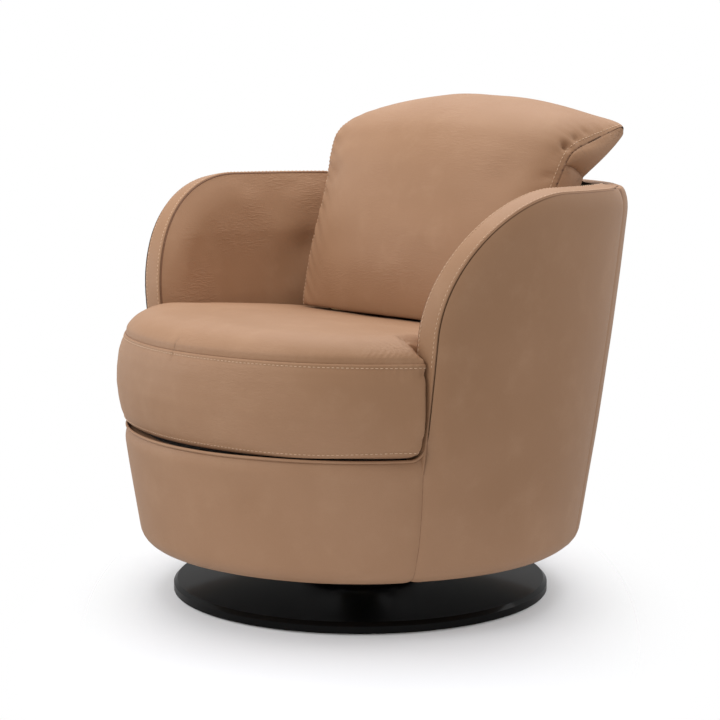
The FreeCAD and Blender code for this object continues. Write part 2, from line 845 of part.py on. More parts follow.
def build_frame(hub_places):
    gap = float(d.fit_gap)
    under = float(d.underside) + float(d.cover) + gap
    floor_top = under + float(d.board_thickness)
    reach = float(d.rim_radius) * 1.2

    board = inside_wall(float(d.cover) + gap, under, floor_top + float(d.board_thickness))
    slab = Part.makeBox(2 * reach, 2 * reach, floor_top)
    slab.translate(Vector(-reach, -reach, 0))
    board = board.common(slab)
    centre_hole = Part.makeCylinder(float(d.hub_hole_radius), reach)
    holes = [centre_hole]
    for x, y in hub_places:
        radius = float(d.bolt_radius) + float(d.bolt_hole_clearance)
        holes.append(Part.makeCylinder(radius, reach, Vector(float(x), float(y), 0)))
    node("bottom_board", shaped("bottom_board_disc", board.cut(holes)))

    setback = float(d.frame_setback)
    inner = setback + float(d.frame_thickness)
    seam = float(d.back_seam_angle)
    band = float(d.band_thickness) + gap
    top = float(d.rim_height) - band
    front_angle = 20.0

    border = float(d.window_border)
    panel = wall_piece(setback, inner, floor_top, top, front_angle, seam - 1)
    panel = panel.common(arch(band))
    sill = floor_top + float(d.window_sill)
    window = wall_piece(0, inner + setback, sill, top, front_angle,
                        seam - float(d.window_back_margin_angle))
    window = window.common(arch(band + border))
    left = node("arm_frame_left", shaped("arm_frame_panel", panel.cut(window)))
    node("arm_frame_right", mirrored("arm_frame_panel_right", left))

    back = wall_piece(setback, inner, floor_top, top, seam, 360 - seam)
    margin = float(d.window_back_margin_angle)
    half = float(d.window_mullion_angle) / 2
    for low, high in ((sill, float(d.seat_ring_bottom)), (float(d.back_sill_height), top - border)):
        for start, end in ((seam + margin, 180 - half), (180 + half, 360 - seam - margin)):
            back = back.cut(wall_piece(0, inner + setback, low, high, start, end))
    node("back_frame", shaped("back_frame_panel", back))

    rail_top = float(d.apron_top) - float(d.apron_band) - gap
    rail = wall_piece(setback, inner, floor_top, rail_top, -70, 70)
    node("front_rail", shaped("front_rail_bent", rail.common(ahead_of_arms())))

    ring_low = float(d.seat_ring_bottom)
    ring_high = ring_low + float(d.seat_ring_thickness)
    ring_out = inner + float(d.fit_gap)
    ring = wall_piece(ring_out, inner + float(d.seat_ring_width), ring_low, ring_high, 0, 360)
    node("seat_ring", shaped("seat_ring_board", ring))

    blocks = []
    block_top = ring_low
    wall_inside = inside_wall(inner, under, ring_low)
    for angle in (22, 68, 115, 160, 205, 245, 292, 338):
        block = Part.makeBox(float(d.block_length), reach, float(d.block_height))
        inner_side = wall_radius(block_top, inner) - float(d.block_depth)
        block.translate(Vector(-float(d.block_length) / 2, inner_side, block_top - float(d.block_height)))
        block.rotate(Vector(0, 0, 0), Vector(0, 0, 1), angle - 180)
        blocks.append(block.common(wall_inside))
    node("glue_blocks", shaped("glue_block_set", Part.makeCompound(blocks)))


# Reclined board behind the back cushion, and the dark liner that closes the well behind it

def build_back_board():
    inner = float(d.frame_setback) + float(d.frame_thickness)
    thick = float(d.back_board_thickness)
    low = float(d.seat_ring_bottom) + float(d.seat_ring_thickness)
    high = float(d.back_board_top)
    gap = float(d.fit_gap)
    space = inside_wall(inner + gap, low, high)
    board = leaning_slab(0, thick, low, high).common(space)
    node("back_board", shaped("back_board_panel", board))

    liner_low = float(d.well_liner_height) - float(d.well_liner_thickness)
    space = inside_wall(inner + gap, liner_low, float(d.well_liner_height))
    depth = float(d.rim_radius) * 1.2
    behind = leaning_slab(thick + gap, depth, liner_low, float(d.well_liner_height))
    notch = Part.makeBox(float(d.hinge_plate) + 2 * gap, float(d.bracket_width) * 2, thick)
    corner = board_front(d.well_liner_height) - float(d.bracket_width) / 4
    notch_x = float(d.hinge_offset) - float(d.hinge_plate) - gap
    notch.translate(Vector(notch_x, corner, liner_low - thick / 2))
    return space.common(behind).cut(both_sides(notch))


# Seat webbing in two layers, and the padded deck over it

def build_deck():
    ring_top = float(d.seat_ring_bottom) + float(d.seat_ring_thickness)
    thick = float(d.strap_thickness)
    inner = float(d.frame_setback) + float(d.frame_thickness)
    reach = wall_radius(ring_top, inner + float(d.seat_ring_width) - float(d.strap_lap))
    board_limit = board_front(ring_top) - float(d.fit_gap) * 4
    circle = Part.makeCylinder(reach, thick)
    rear_limit = Part.makeBox(2 * reach, reach + board_limit, thick, Vector(-reach, -reach, 0))
    circle = circle.common(rear_limit)
    layers = (
        ("webbing_long", 0, 0, int(d.strap_long_count.value), 0),
        ("webbing_cross", 1, 90, int(d.strap_cross_count.value), (board_limit - reach) / 2),
    )
    for name, level, turned_by, count, middle in layers:
        straps = []
        for index in range(count):
            offset = (index - (count - 1) / 2) * float(d.strap_pitch)
            strap = Part.makeBox(float(d.strap_width), 2 * reach, thick)
            strap.translate(Vector(offset - float(d.strap_width) / 2, -reach, 0))
            strap.rotate(Vector(0, 0, 0), Vector(0, 0, 1), turned_by)
            strap.translate(Vector(0, middle, 0))
            piece = strap.common(circle)
            piece.translate(Vector(0, 0, ring_top + level * thick))
            straps.append(piece)
        node(name, shaped(name + "_set", Part.makeCompound(straps)))

    pad_low = ring_top + 2 * thick + float(d.deck_pad_gap)
    pad_high = float(d.apron_top)
    deck = inside_wall(inner + float(d.fit_gap), pad_low, pad_high)
    ahead = leaning_slab(-2 * reach, -float(d.fit_gap), pad_low - thick, pad_high + thick)
    node("deck_pad", shaped("deck_pad_disc", deck.common(ahead)))


# Outer covers, apron, arm borders and piping

def build_covers(liner):
    gap = float(d.fit_gap)
    cover = float(d.cover)
    seam = float(d.back_seam_angle)
    rim = float(d.rim_height)
    band = float(d.band_thickness)

    side_top = rim - float(d.piping_size)
    side_close = [line(section_point(wall_radius(side_top), side_top),
                       section_point(wall_radius(side_top, cover), side_top))]
    side = turned(skin_section(side_close, side_top, side_top), 20, seam)
    side = side.common(arch(float(d.piping_size) - float(d.piping_stand) + gap))
    back_of_front = Part.makeBox(rim, rim, rim, Vector(0, -float(d.arm_front), 0))
    side = side.common(back_of_front.fuse(Part.makeBox(rim, rim, rim, Vector(0, 0, 0))))
    left = node("outer_side_cover_left", shaped("outer_side_cover", side))
    node("outer_side_cover_right", mirrored("outer_side_cover_mirror", left))

    roll = float(d.band_roll)
    width = float(d.band_width)
    low = rim - band
    rim_out = section_point(wall_radius(rim - roll), rim - roll)
    rim_in = section_point(wall_radius(rim - roll, width), rim - roll)
    flat_out = section_point(wall_radius(rim, roll), rim)
    flat_in = section_point(wall_radius(rim, width - roll), rim)
    share = 1 - math.sqrt(0.5)
    mid_out = section_point(wall_radius(rim, roll * share), rim - roll * share)
    mid_in = section_point(wall_radius(rim, width - roll * share), rim - roll * share)
    foot_in = section_point(wall_radius(low, width), low)
    foot_out = section_point(wall_radius(low, cover), low)
    rolled_over = [
        arc(rim_out, mid_out, flat_out),
        line(flat_out, flat_in),
        arc(flat_in, mid_in, rim_in),
        line(rim_in, foot_in),
        line(foot_in, foot_out),
    ]
    back = turned(skin_section(rolled_over, rim - roll, low), seam, 360 - seam)
    node("outer_back_cover", shaped("outer_back_cover_shell", back))

    apron_top = float(d.apron_top)
    soft = float(d.apron_roll)
    apron_in = float(d.frame_setback) + float(d.frame_thickness)
    apron_low = apron_top - float(d.apron_band)
    over_rail = [
        line(section_point(wall_radius(apron_top - soft), apron_top - soft),
             section_point(wall_radius(apron_top, soft * share), apron_top - soft * share)),
        line(section_point(wall_radius(apron_top, soft * share), apron_top - soft * share),
             section_point(wall_radius(apron_top, soft), apron_top)),
        line(section_point(wall_radius(apron_top, soft), apron_top),
             section_point(wall_radius(apron_top, apron_in), apron_top)),
        line(section_point(wall_radius(apron_top, apron_in), apron_top),
             section_point(wall_radius(apron_low, apron_in), apron_low)),
        line(section_point(wall_radius(apron_low, apron_in), apron_low),
             section_point(wall_radius(apron_low, cover), apron_low)),
    ]
    apron = turned(skin_section(over_rail, apron_top - soft, apron_low), -70, 70)
    node("front_apron", shaped("front_apron_shell", apron.common(ahead_of_arms())))

    cord = float(d.apron_piping_radius)
    centre = section_point(wall_radius(apron_top, soft + cord), apron_top + cord)
    circle = Part.Wire(Part.makeCircle(cord, centre, Vector(0, 1, 0)))
    piping = turned(Part.Face(circle), -64, 64)
    node("apron_piping", shaped("apron_piping_cord", piping.common(ahead_of_arms())))

    # The arm borders follow the arch from the seat up over the front and back along the rim.
    low = apron_top
    stand = float(d.piping_stand)
    size = float(d.piping_size)
    strip_in = width - (size - stand)
    arch_shell = arch(0).cut(arch(band))
    border = wall_piece(cover + gap, strip_in - gap, low, rim, 15, seam)
    border = border.common(arch_shell)
    left = node("arm_border_left", shaped("arm_border_strip", border))
    node("arm_border_right", mirrored("arm_border_mirror", left))

    cords = []
    piping_shell = arch(-stand).cut(arch(size - stand))
    for start in (-stand, strip_in):
        strip = wall_piece(start, start + size, low, rim + stand, 15, seam)
        cords.append(strip.common(piping_shell))
    left = node("arm_piping_left", shaped("arm_piping_pair", Part.makeCompound(cords)))
    node("arm_piping_right", mirrored("arm_piping_mirror", left))

    # Inside the back of the rim a lining covers the frame, and the dark liner closes the well.
    inner = float(d.frame_setback) + float(d.frame_thickness)
    lining_low = float(d.well_liner_height) + gap
    lining = wall_piece(inner + gap, width, lining_low, rim - band - gap, 100, 260)
    behind = leaning_slab(float(d.back_board_thickness), rim, lining_low - rim / 2, rim)
    lining = lining.common(behind)
    node("inner_back_pad", shaped("inner_back_lining", lining))
    node("well_liner", shaped("well_liner_panel", liner))

    # A loose dust cover closes the underside round the hub plate.
    under = float(d.underside) + cover
    edge = wall_radius(d.underside) - float(d.bottom_roll) - float(d.bottom_turn_under)
    outer = Part.makeCylinder(edge - gap, float(d.strap_thickness))
    outer = outer.cut(Part.makeCylinder(float(d.hub_plate_radius) + gap, float(d.strap_thickness)))
    outer.translate(Vector(0, 0, under - float(d.strap_thickness)))
    node("dust_cover", shaped("dust_cover_sheet", outer))


# Padded inner faces of the arms

def is_inner(edge, depth):
    """Whether an edge's middle lies well inside the wall's surface at a depth."""
    middle = edge.valueAt((edge.FirstParameter + edge.LastParameter) / 2)
    return math.hypot(middle.x, middle.y) < wall_radius(middle.z, depth) - float(d.arm_pad_roll)


def build_arm_pads():
    gap = float(d.fit_gap)
    out = float(d.frame_setback) + float(d.frame_thickness) + gap
    band = float(d.band_thickness) + gap
    low = float(d.apron_top) + gap
    high = float(d.rim_height) - band
    mid = float(d.arm_pad_mid_height)
    bulge = arc(
        section_point(wall_radius(high, d.arm_pad_top_depth), high),
        section_point(wall_radius(mid, d.arm_pad_mid_depth), mid),
        section_point(wall_radius(low, d.arm_pad_low_depth), low),
    )
    edges = [
        wall_edge(low, high, out),
        line(section_point(wall_radius(high, out), high),
             section_point(wall_radius(high, d.arm_pad_top_depth), high)),
        bulge,
        line(section_point(wall_radius(low, d.arm_pad_low_depth), low),
             section_point(wall_radius(low, out), low)),
    ]
    pad = turned(face_of(edges), 15, 150)
    pad = pad.common(arch(band))
    ahead = leaning_slab(-float(d.rim_height) * 2, -gap, 0, d.rim_height)
    pad = pad.common(ahead).Solids[0]

    # The inner face rolls over at the arm front, round the arch and along the rim.
    rolled = []
    arch_surface = arch(band).Shells[0]
    for edge in pad.Edges:
        middle = edge.valueAt((edge.FirstParameter + edge.LastParameter) / 2)
        on_arch = arch_surface.distToShape(Part.Vertex(middle))[0] < gap / 10
        if on_arch and edge.Length > float(d.arm_front) and is_inner(edge, out):
            rolled.append(edge)
    pad = pad.makeFillet(float(d.arm_pad_roll), rolled)
    pad.fix(gap / 300, gap / 300, gap)
    left = node("inner_arm_pad_left", shaped("inner_arm_pad", pad))
    node("inner_arm_pad_right", mirrored("inner_arm_pad_mirror", left))


# Seat cushion: a leather cover over a foam core

def seat_outline(height, front, ear, side, rear, inset):
    """Plan outline of the seat cushion at a height: bowed front, ears ahead of the arms."""
    front = front - inset
    ear = ear - inset
    side = side - inset
    rear = rear - inset
    ear_back = float(d.arm_front) + float(d.ear_gap) + inset
    side_front = math.sqrt(side ** 2 - ear_back ** 2)
    side_rear = math.sqrt(side ** 2 - rear ** 2)
    left_ear = Vector(ear, -ear_back, height)
    left_notch = Vector(side_front, -ear_back, height)
    left_rear = Vector(side_rear, rear, height)
    right_ear = Vector(-ear, -ear_back, height)
    right_notch = Vector(-side_front, -ear_back, height)
    right_rear = Vector(-side_rear, rear, height)
    return Part.Wire([
        arc(right_ear, Vector(0, -front, height), left_ear),
        line(left_ear, left_notch),
        arc(left_notch, Vector(side, 0, height), left_rear),
        line(left_rear, right_rear),
        arc(right_rear, Vector(-side, 0, height), right_notch),
        line(right_notch, right_ear),
    ])


def seat_size(front, ear, side, rear):
    return float(front), float(ear), float(side), float(rear)


# The seat's crown closes in towards its centre: shares of the seam's size and of the rise
CROWN_SHARES = ((0.93, 0.45), (0.8, 0.8), (0.5, 1.0))


def seat_cushion_solid(inset):
    """The seat cushion's outer form, drawn in by an inset all round."""
    tuck = float(d.seat_rear_tuck)
    rear = float(d.seat_rear)
    edge = float(d.seat_edge_inset)
    bottom = float(d.apron_top) + float(d.cushion_lift) + inset
    low = float(d.seat_bottom_seam) + inset
    top = float(d.seat_top_seam) - inset / 2
    crown = float(d.seat_crown_height) - inset
    low_size = seat_size(d.seat_bottom_front, d.seat_bottom_ear, d.seat_bottom_side, rear - tuck)
    mid_size = seat_size(d.seat_mid_front, d.seat_mid_ear, d.seat_mid_side, rear)
    top_size = seat_size(d.seat_top_front, d.seat_top_ear, d.seat_top_side, rear - tuck)
    under = Part.makeLoft([
        seat_outline(bottom, *low_size, inset + edge),
        seat_outline(low, *low_size, inset),
    ], True)
    boxing = Part.makeLoft([
        seat_outline(low, *low_size, inset),
        seat_outline(float(d.seat_mid_height), *mid_size, inset),
        seat_outline(top, *top_size, inset),
    ], True)
    seam = seat_outline(top, *top_size, inset)
    rounds = [seam]
    for size_share, rise_share in CROWN_SHARES:
        ring = seam.copy()
        centre = Vector(0, -float(d.seat_crown_centre), top)
        ring.scale(size_share, centre)
        ring.translate(Vector(0, 0, (crown - top) * rise_share))
        rounds.append(ring)
    return under.fuse([boxing, Part.makeLoft(rounds, True)])


def build_seat_cushion():
    core = seat_cushion_solid(float(d.cushion_cover))
    shell = seat_cushion_solid(0.0).cut(core)
    node("seat_cushion_cover", shaped("seat_cushion_leather", shell))
    node("seat_cushion_foam", shaped("seat_cushion_core", core))


# Back cushion and headrest share a barrel about the headrest's pivot

# Stations across the cushions, as shares of the half width
STATION_SHARES = (-1.0, -0.9, -0.6, 0.0, 0.6, 0.9, 1.0)


def barrel_radius(x):
    """Radius of the rounded joint between the two cushions at a distance from the middle."""
    half = float(d.back_cushion_half_width)
    rise = float(d.barrel_middle_radius) - float(d.barrel_side_radius)
    bend = (half ** 2 + rise ** 2) / (2 * rise)
    return float(d.barrel_middle_radius) - bend + math.sqrt(bend ** 2 - x ** 2)


def pivot_point(back, up, x=0.0):
    """A point given from the headrest's pivot."""
    return Vector(x, float(d.pivot_back) + back, float(d.pivot_height) + up)


def barrel_solid(clearance):
    half = float(d.back_cushion_half_width) * 1.1
    edge = barrel_radius(half) + clearance
    middle = float(d.barrel_middle_radius) + clearance
    edges = [
        line(pivot_point(0, 0, -half), pivot_point(0, edge, -half)),
        arc(pivot_point(0, edge, -half), pivot_point(0, middle, 0), pivot_point(0, edge, half)),
        line(pivot_point(0, edge, half), pivot_point(0, 0, half)),
        line(pivot_point(0, 0, half), pivot_point(0, 0, -half)),
    ]
    return face_of(edges).revolve(pivot_point(0, 0), Vector(1, 0, 0), 360)


def back_cushion_section(share, inset):
    """Upright section of the back cushion at a share of its half width."""
    ends = float(d.cushion_end_inset) if abs(share) == 1 else 0.0
    inset = inset + ends
    x = share * (float(d.back_cushion_half_width) - (inset - ends))
    crown = float(d.back_crown) * (1 - share ** 2)
    low = float(d.back_bottom)
    slope = (float(d.back_seam_high_front) - float(d.back_seam_low_front)) / (
        float(d.back_seam_high_height) - low)
    roll = float(d.back_bottom_roll)
    top = float(d.back_cushion_top) - inset
    bottom = low + inset

    def front(height):
        return float(d.back_seam_low_front) + slope * (height - low) - crown + inset

    def rear(height):
        return board_front(height) - float(d.fit_gap) * 2 - inset

    middle = (bottom + roll + top) / 2
    rear_low = Vector(x, rear(bottom), bottom)
    foot = Vector(x, front(bottom) + roll, bottom)
    turn = Vector(x, front(bottom) + roll * 0.29, bottom + roll * 0.29)
    face_low = Vector(x, front(bottom + roll), bottom + roll)
    face_mid = Vector(x, front(middle) - float(d.back_front_puff), middle)
    face_top = Vector(x, front(top), top)
    rear_top = Vector(x, rear(top), top)
    return Part.Wire([
        line(rear_low, foot),
        arc(foot, turn, face_low),
        arc(face_low, face_mid, face_top),
        line(face_top, rear_top),
        line(rear_top, rear_low),
    ])


def headrest_section(share, inset):
    """Upright section of the headrest at a share of its half width, folded back as at rest."""
    ends = float(d.cushion_end_inset) if abs(share) == 1 else 0.0
    x = share * (float(d.back_cushion_half_width) - inset)
    inset = inset + ends
    swell = 1 - share ** 2
    radius = barrel_radius(x) - inset

    def blend(side, middle):
        return float(side) + (float(middle) - float(side)) * swell

    def on_barrel(degrees):
        angle = math.radians(degrees)
        return pivot_point(radius * math.cos(angle), radius * math.sin(angle), x)

    reach = blend(d.headrest_reach, d.headrest_middle_reach) - inset
    tip_high = blend(d.headrest_tip_height, d.headrest_middle_tip_height) - inset
    thick = float(d.headrest_tip_thickness) - 1.2 * inset
    crease_back = float(d.headrest_crease_back) - inset * 0.5
    crease_drop = float(d.headrest_crease_drop) - inset
    start = on_barrel(float(d.barrel_low_angle))
    top_start = on_barrel(float(d.barrel_high_angle))
    front_angle = (float(d.barrel_low_angle) + float(d.barrel_high_angle)) / 2
    summit = pivot_point(
        float(d.headrest_crease_back),
        blend(d.headrest_mid_height, d.headrest_mid_height + d.headrest_crown) - inset,
        x,
    )
    tip_top = pivot_point(reach, tip_high, x)
    tip_low = pivot_point(reach + 0.1 * thick, tip_high - thick, x)
    tip_mid = pivot_point(reach + 0.45 * thick, tip_high - 0.5 * thick, x)
    crease = pivot_point(crease_back, -crease_drop, x)
    return Part.Wire([
        arc(start, on_barrel(front_angle), top_start),
        arc(top_start, summit, tip_top),
        arc(tip_top, tip_mid, tip_low),
        line(tip_low, crease),
        line(crease, start),
    ])


def hinge_slot():
    """Room in the headrest for the fixed half of each hinge over the whole travel."""
    play = float(d.slot_clearance)
    width = 2 * float(d.hinge_plate) + float(d.hinge_gap) + float(d.pin_head_height) * 2 + 2 * play
    start = float(d.hinge_offset) - float(d.hinge_plate) - float(d.pin_head_height) - play
    reach = float(d.barrel_middle_radius)
    axis = Vector(1, 0, 0)
    round_room = Part.makeCylinder(float(d.hinge_disc_radius) + play, width,
                                   pivot_point(0, 0, start), axis)
    sweep = float(d.slot_end_angle) - float(d.slot_start_angle)
    fan = Part.makeCylinder(reach, width, pivot_point(0, 0, start), axis, sweep)
    fan.rotate(pivot_point(0, 0), axis, float(d.slot_start_angle) - 90)
    return round_room.fuse(fan)


def both_sides(shape):
    return [shape, shape.mirror(Vector(0, 0, 0), Vector(1, 0, 0))]


def head_board_frame(along, across, x=0.0):
    """A point in the headrest board's own directions: along it from the pivot, and across it."""
    angle = math.radians(float(d.head_board_angle))
    back = along * math.cos(angle) - across * math.sin(angle)
    up = along * math.sin(angle) + across * math.cos(angle)
    return pivot_point(back, up, x)


def head_board_block(along_start, along_end, across_start, across_end, x_start, x_end):
    corners = [
        head_board_frame(along_start, across_start, x_start),
        head_board_frame(along_end, across_start, x_start),
        head_board_frame(along_end, across_end, x_start),
        head_board_frame(along_start, across_end, x_start),
    ]
    profile = Part.Face(Part.makePolygon(corners + corners[:1]))
    return profile.extrude(Vector(x_end - x_start, 0, 0))


def build_back_and_headrest():
    cover = float(d.cushion_cover)
    rim = float(d.rim_height) * 1.2
    trough = barrel_solid(float(d.barrel_clearance))
    outer = Part.makeLoft([back_cushion_section(share, 0.0) for share in STATION_SHARES], True)
    ahead = leaning_slab(-float(d.rim_height), -float(d.fit_gap), float(d.back_bottom) / 2, rim)
    outer = outer.common(ahead).cut(trough)
    inner_trough = barrel_solid(float(d.barrel_clearance) + cover)
    inner = Part.makeLoft([back_cushion_section(share, cover) for share in STATION_SHARES], True)
    ahead = leaning_slab(-float(d.rim_height), -float(d.fit_gap) - cover, float(d.back_bottom) / 2, rim)
    inner = inner.common(ahead).cut(inner_trough)
    node("back_cushion_cover", shaped("back_cushion_leather", outer.cut(inner)))
    node("back_cushion_foam", shaped("back_cushion_core", inner))

    start = float(d.head_board_start)
    end = start + float(d.head_board_length)
    half = float(d.head_board_half_width)
    thick = float(d.head_board_thickness)
    board = head_board_block(start, end, 0, thick, -half, half)
    node("headrest_board", shaped("headrest_board_panel", board))

    slots = both_sides(hinge_slot())
    outer = Part.makeLoft([headrest_section(share, 0.0) for share in STATION_SHARES], True)
    inner = Part.makeLoft([headrest_section(share, cover) for share in STATION_SHARES], True)
    skin = outer.cut([inner] + slots)
    node("headrest_cover", shaped("headrest_leather", skin))
    plate = float(d.hinge_plate)
    arm_x = float(d.hinge_offset) + float(d.hinge_gap)
    flange = float(d.bracket_flange_width)
    screw_room = float(d.screw_head_height) + float(d.slot_clearance)
    arm_low = -max(plate + screw_room, float(d.bracket_width) / 2)
    arm_room = head_board_block(0, end, arm_low, 0, arm_x - plate, arm_x + flange)
    foam = inner.cut(slots + [board] + both_sides(arm_room))
    node("headrest_foam", shaped("headrest_core", foam))


# Ratchet hinges of the headrest

def toothed_disc(x, thickness):
    """The fixed half's disc, with ratchet teeth over part of its edge."""
    radius = float(d.hinge_disc_radius)
    height = float(d.ratchet_tooth_height)
    count = int(d.ratchet_tooth_count.value)
    start = float(d.ratchet_start_angle)
    step = float(d.ratchet_sweep_angle) / count
    disc = Part.makeCylinder(radius - height, thickness, pivot_point(0, 0, x), Vector(1, 0, 0))
    points = []
    for index in range(count):
        for turn, reach in ((0, radius - height), (0.15, radius)):
            angle = math.radians(start + (index + turn) * step)
            points.append(pivot_point(reach * math.cos(angle), reach * math.sin(angle), x))
    last = math.radians(start + count * step)
    foot = radius - height
    points.append(pivot_point(foot * math.cos(last), foot * math.sin(last), x))
    points.append(pivot_point(0, 0, x))
    teeth = Part.Face(Part.makePolygon(points + points[:1])).extrude(Vector(thickness, 0, 0))
    return disc.fuse(teeth)


def build_hinges():
    plate = float(d.hinge_plate)
    inner_x = float(d.hinge_offset) - plate
    axis = Vector(1, 0, 0)
    pin_hole = float(d.pin_radius) + float(d.pin_clearance)
    board_thick = float(d.back_board_thickness)
    top = float(d.back_board_top)
    width = float(d.bracket_width)
    recline = math.cos(math.radians(float(d.back_board_recline)))

    # Fixed half: a toothed disc, an arm down behind the board and a flange screwed to the board.
    reach = float(d.bracket_flange_height)
    low = top - reach

    def behind(height, offset):
        return board_front(height) + (board_thick + offset) / recline

    disc = toothed_disc(inner_x, plate)
    arm = Part.Face(Part.makePolygon([
        pivot_point(-0.5 * width, 0, inner_x),
        pivot_point(0.5 * width, 0, inner_x),
        Vector(inner_x, behind(low, width), low),
        Vector(inner_x, behind(low, 0), low),
        Vector(inner_x, behind(top, 0), top),
        Vector(inner_x, behind(top + plate, 0), top + plate),
        pivot_point(-0.5 * width, 0, inner_x),
    ])).extrude(Vector(plate, 0, 0))
    flange_start = inner_x - float(d.bracket_flange_width)
    flange = leaning_slab(board_thick, board_thick + plate, low, top)
    side_limit = Part.makeBox(inner_x + plate - flange_start, reach * 8, reach * 8,
                              Vector(flange_start, 0, 0))
    flange = flange.common(side_limit)
    hole = Part.makeCylinder(pin_hole, plate, pivot_point(0, 0, inner_x), axis)
    fixed = disc.fuse([arm, flange]).removeSplitter().cut(hole)
    screws = []
    board_normal = Vector(0, math.cos(math.radians(float(d.back_board_recline))),
                          -math.sin(math.radians(float(d.back_board_recline))))
    screw_x = flange_start + float(d.bracket_flange_width) / 2
    holes = []
    for share in (0.2, 0.5, 0.8):
        height = low + share * reach
        seat = Vector(screw_x, behind(height, plate), height)
        length = plate + board_thick * 0.7
        shank = Part.makeCylinder(float(d.screw_radius), length, seat - board_normal * length, board_normal)
        head = Part.makeCylinder(float(d.screw_head_radius), float(d.screw_head_height), seat, board_normal)
        screws.append(shank.fuse(head))
        holes.append(shank)
    fixed = fixed.cut(holes)
    left = node("hinge_bracket_left", shaped("hinge_bracket", fixed))
    node("hinge_bracket_right", mirrored("hinge_bracket_mirror", left))
    all_screws = screws + [screw.mirror(Vector(0, 0, 0), axis) for screw in screws]
    node("bracket_screws", shaped("bracket_screw_set", Part.makeCompound(all_screws)))
    board = [item for item in nodes if item.Label == "back_board"][0]
    pockets = holes + [shank.mirror(Vector(0, 0, 0), axis) for shank in holes]
    board.Shape = board.Shape.cut(pockets)

    # Moving half: a disc and a foot under the headrest board, turning on the pin.
    outer_x = float(d.hinge_offset) + float(d.hinge_gap)
    boss = Part.makeCylinder(float(d.hinge_disc_radius), plate, pivot_point(0, 0, outer_x), axis)
    start = float(d.head_board_start)
    end = start + float(d.head_board_length)
    web = head_board_block(0, end, -plate, 0, outer_x, outer_x + plate)
    foot = head_board_block(start, end, -plate, 0, outer_x, outer_x + float(d.bracket_flange_width) - 1)
    neck = head_board_block(0, start, -0.5 * width, 0, outer_x, outer_x + plate)
    moving = boss.fuse([web, foot, neck]).removeSplitter()
    moving = moving.cut(Part.makeCylinder(float(d.pin_radius), plate, pivot_point(0, 0, outer_x), axis))
    screws = []
    holes = []
    across = head_board_frame(0, 1) - head_board_frame(0, 0)
    for share in (0.3, 0.75):
        along = start + share * float(d.head_board_length)
        seat = head_board_frame(along, -plate, outer_x + 0.6 * float(d.bracket_flange_width))
        length = plate + float(d.head_board_thickness) * 0.7
        shank = Part.makeCylinder(float(d.screw_radius), length, seat, across)
        head = Part.makeCylinder(float(d.screw_head_radius), float(d.screw_head_height),
                                 seat - across * float(d.screw_head_height), across)
        screws.append(shank.fuse(head))
        holes.append(shank)
    moving = moving.cut(holes)
    left = node("headrest_arm_left", shaped("headrest_arm", moving))
    node("headrest_arm_right", mirrored("headrest_arm_mirror", left))
    all_screws = screws + [screw.mirror(Vector(0, 0, 0), axis) for screw in screws]
    node("headrest_screws", shaped("headrest_screw_set", Part.makeCompound(all_screws)))
    board = [item for item in nodes if item.Label == "headrest_board"][0]
    board.Shape = board.Shape.cut(holes + [shank.mirror(Vector(0, 0, 0), axis) for shank in holes])

    # Each pin is pressed in the moving half, and its head keeps the fixed half in place.
    pins = []
    head_h = float(d.pin_head_height)
    stem_start = inner_x - float(d.hinge_gap)
    stem_end = outer_x + plate
    stem = Part.makeCylinder(float(d.pin_radius), stem_end - stem_start,
                             pivot_point(0, 0, stem_start), axis)
    head = Part.makeCylinder(float(d.pin_head_radius), head_h,
                             pivot_point(0, 0, stem_start - head_h), axis)
    rivet = Part.makeCylinder(float(d.pin_head_radius), head_h,
                              pivot_point(0, 0, stem_end), axis)
    pin = stem.fuse([head, rivet])
    pins = both_sides(pin)
    node("hinge_pins", shaped("hinge_pin_pair", Part.makeCompound(pins)))


build_base()
build_post()
hub_start = build_bearing()
bolt_places = build_hub(hub_start)
build_frame(bolt_places)
liner_shape = build_back_board()
build_deck()
build_covers(liner_shape)
build_arm_pads()
build_seat_cushion()
build_back_and_headrest()
build_hinges()
doc.recompute()

# Every object must be sound before anything is written

for item in doc.Objects:
    if "Invalid" in item.State or "Error" in item.State:
        raise RuntimeError("failed object: " + item.Name)
for item in nodes:
    if item.Shape.isNull() or not item.Shape.isValid():
        raise RuntimeError("unsound shape: " + item.Label)
    if not item.Shape.Solids:
        raise RuntimeError("no solid in: " + item.Label)

os.makedirs("parts", exist_ok=True)
for item in nodes:
    item.Shape.exportStep("parts/" + item.Label + ".step")
    box_of = item.Shape.BoundBox
    print(item.Label, len(item.Shape.Solids), round(item.Shape.Volume),
          "z", round(box_of.ZMin, 1), round(box_of.ZMax, 1))
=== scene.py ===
# %% [markdown]
# # A swivel tub chair in caramel leather
# The chair is a round padded tub on a flat disc, with a thick seat cushion and a back
# cushion whose top folds over as a headrest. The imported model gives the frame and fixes
# every place and size. Here each upholstered part gets its cut, its seams and its leather.

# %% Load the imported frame
import json
import math

import bpy
import numpy as np
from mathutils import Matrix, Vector, kdtree, noise


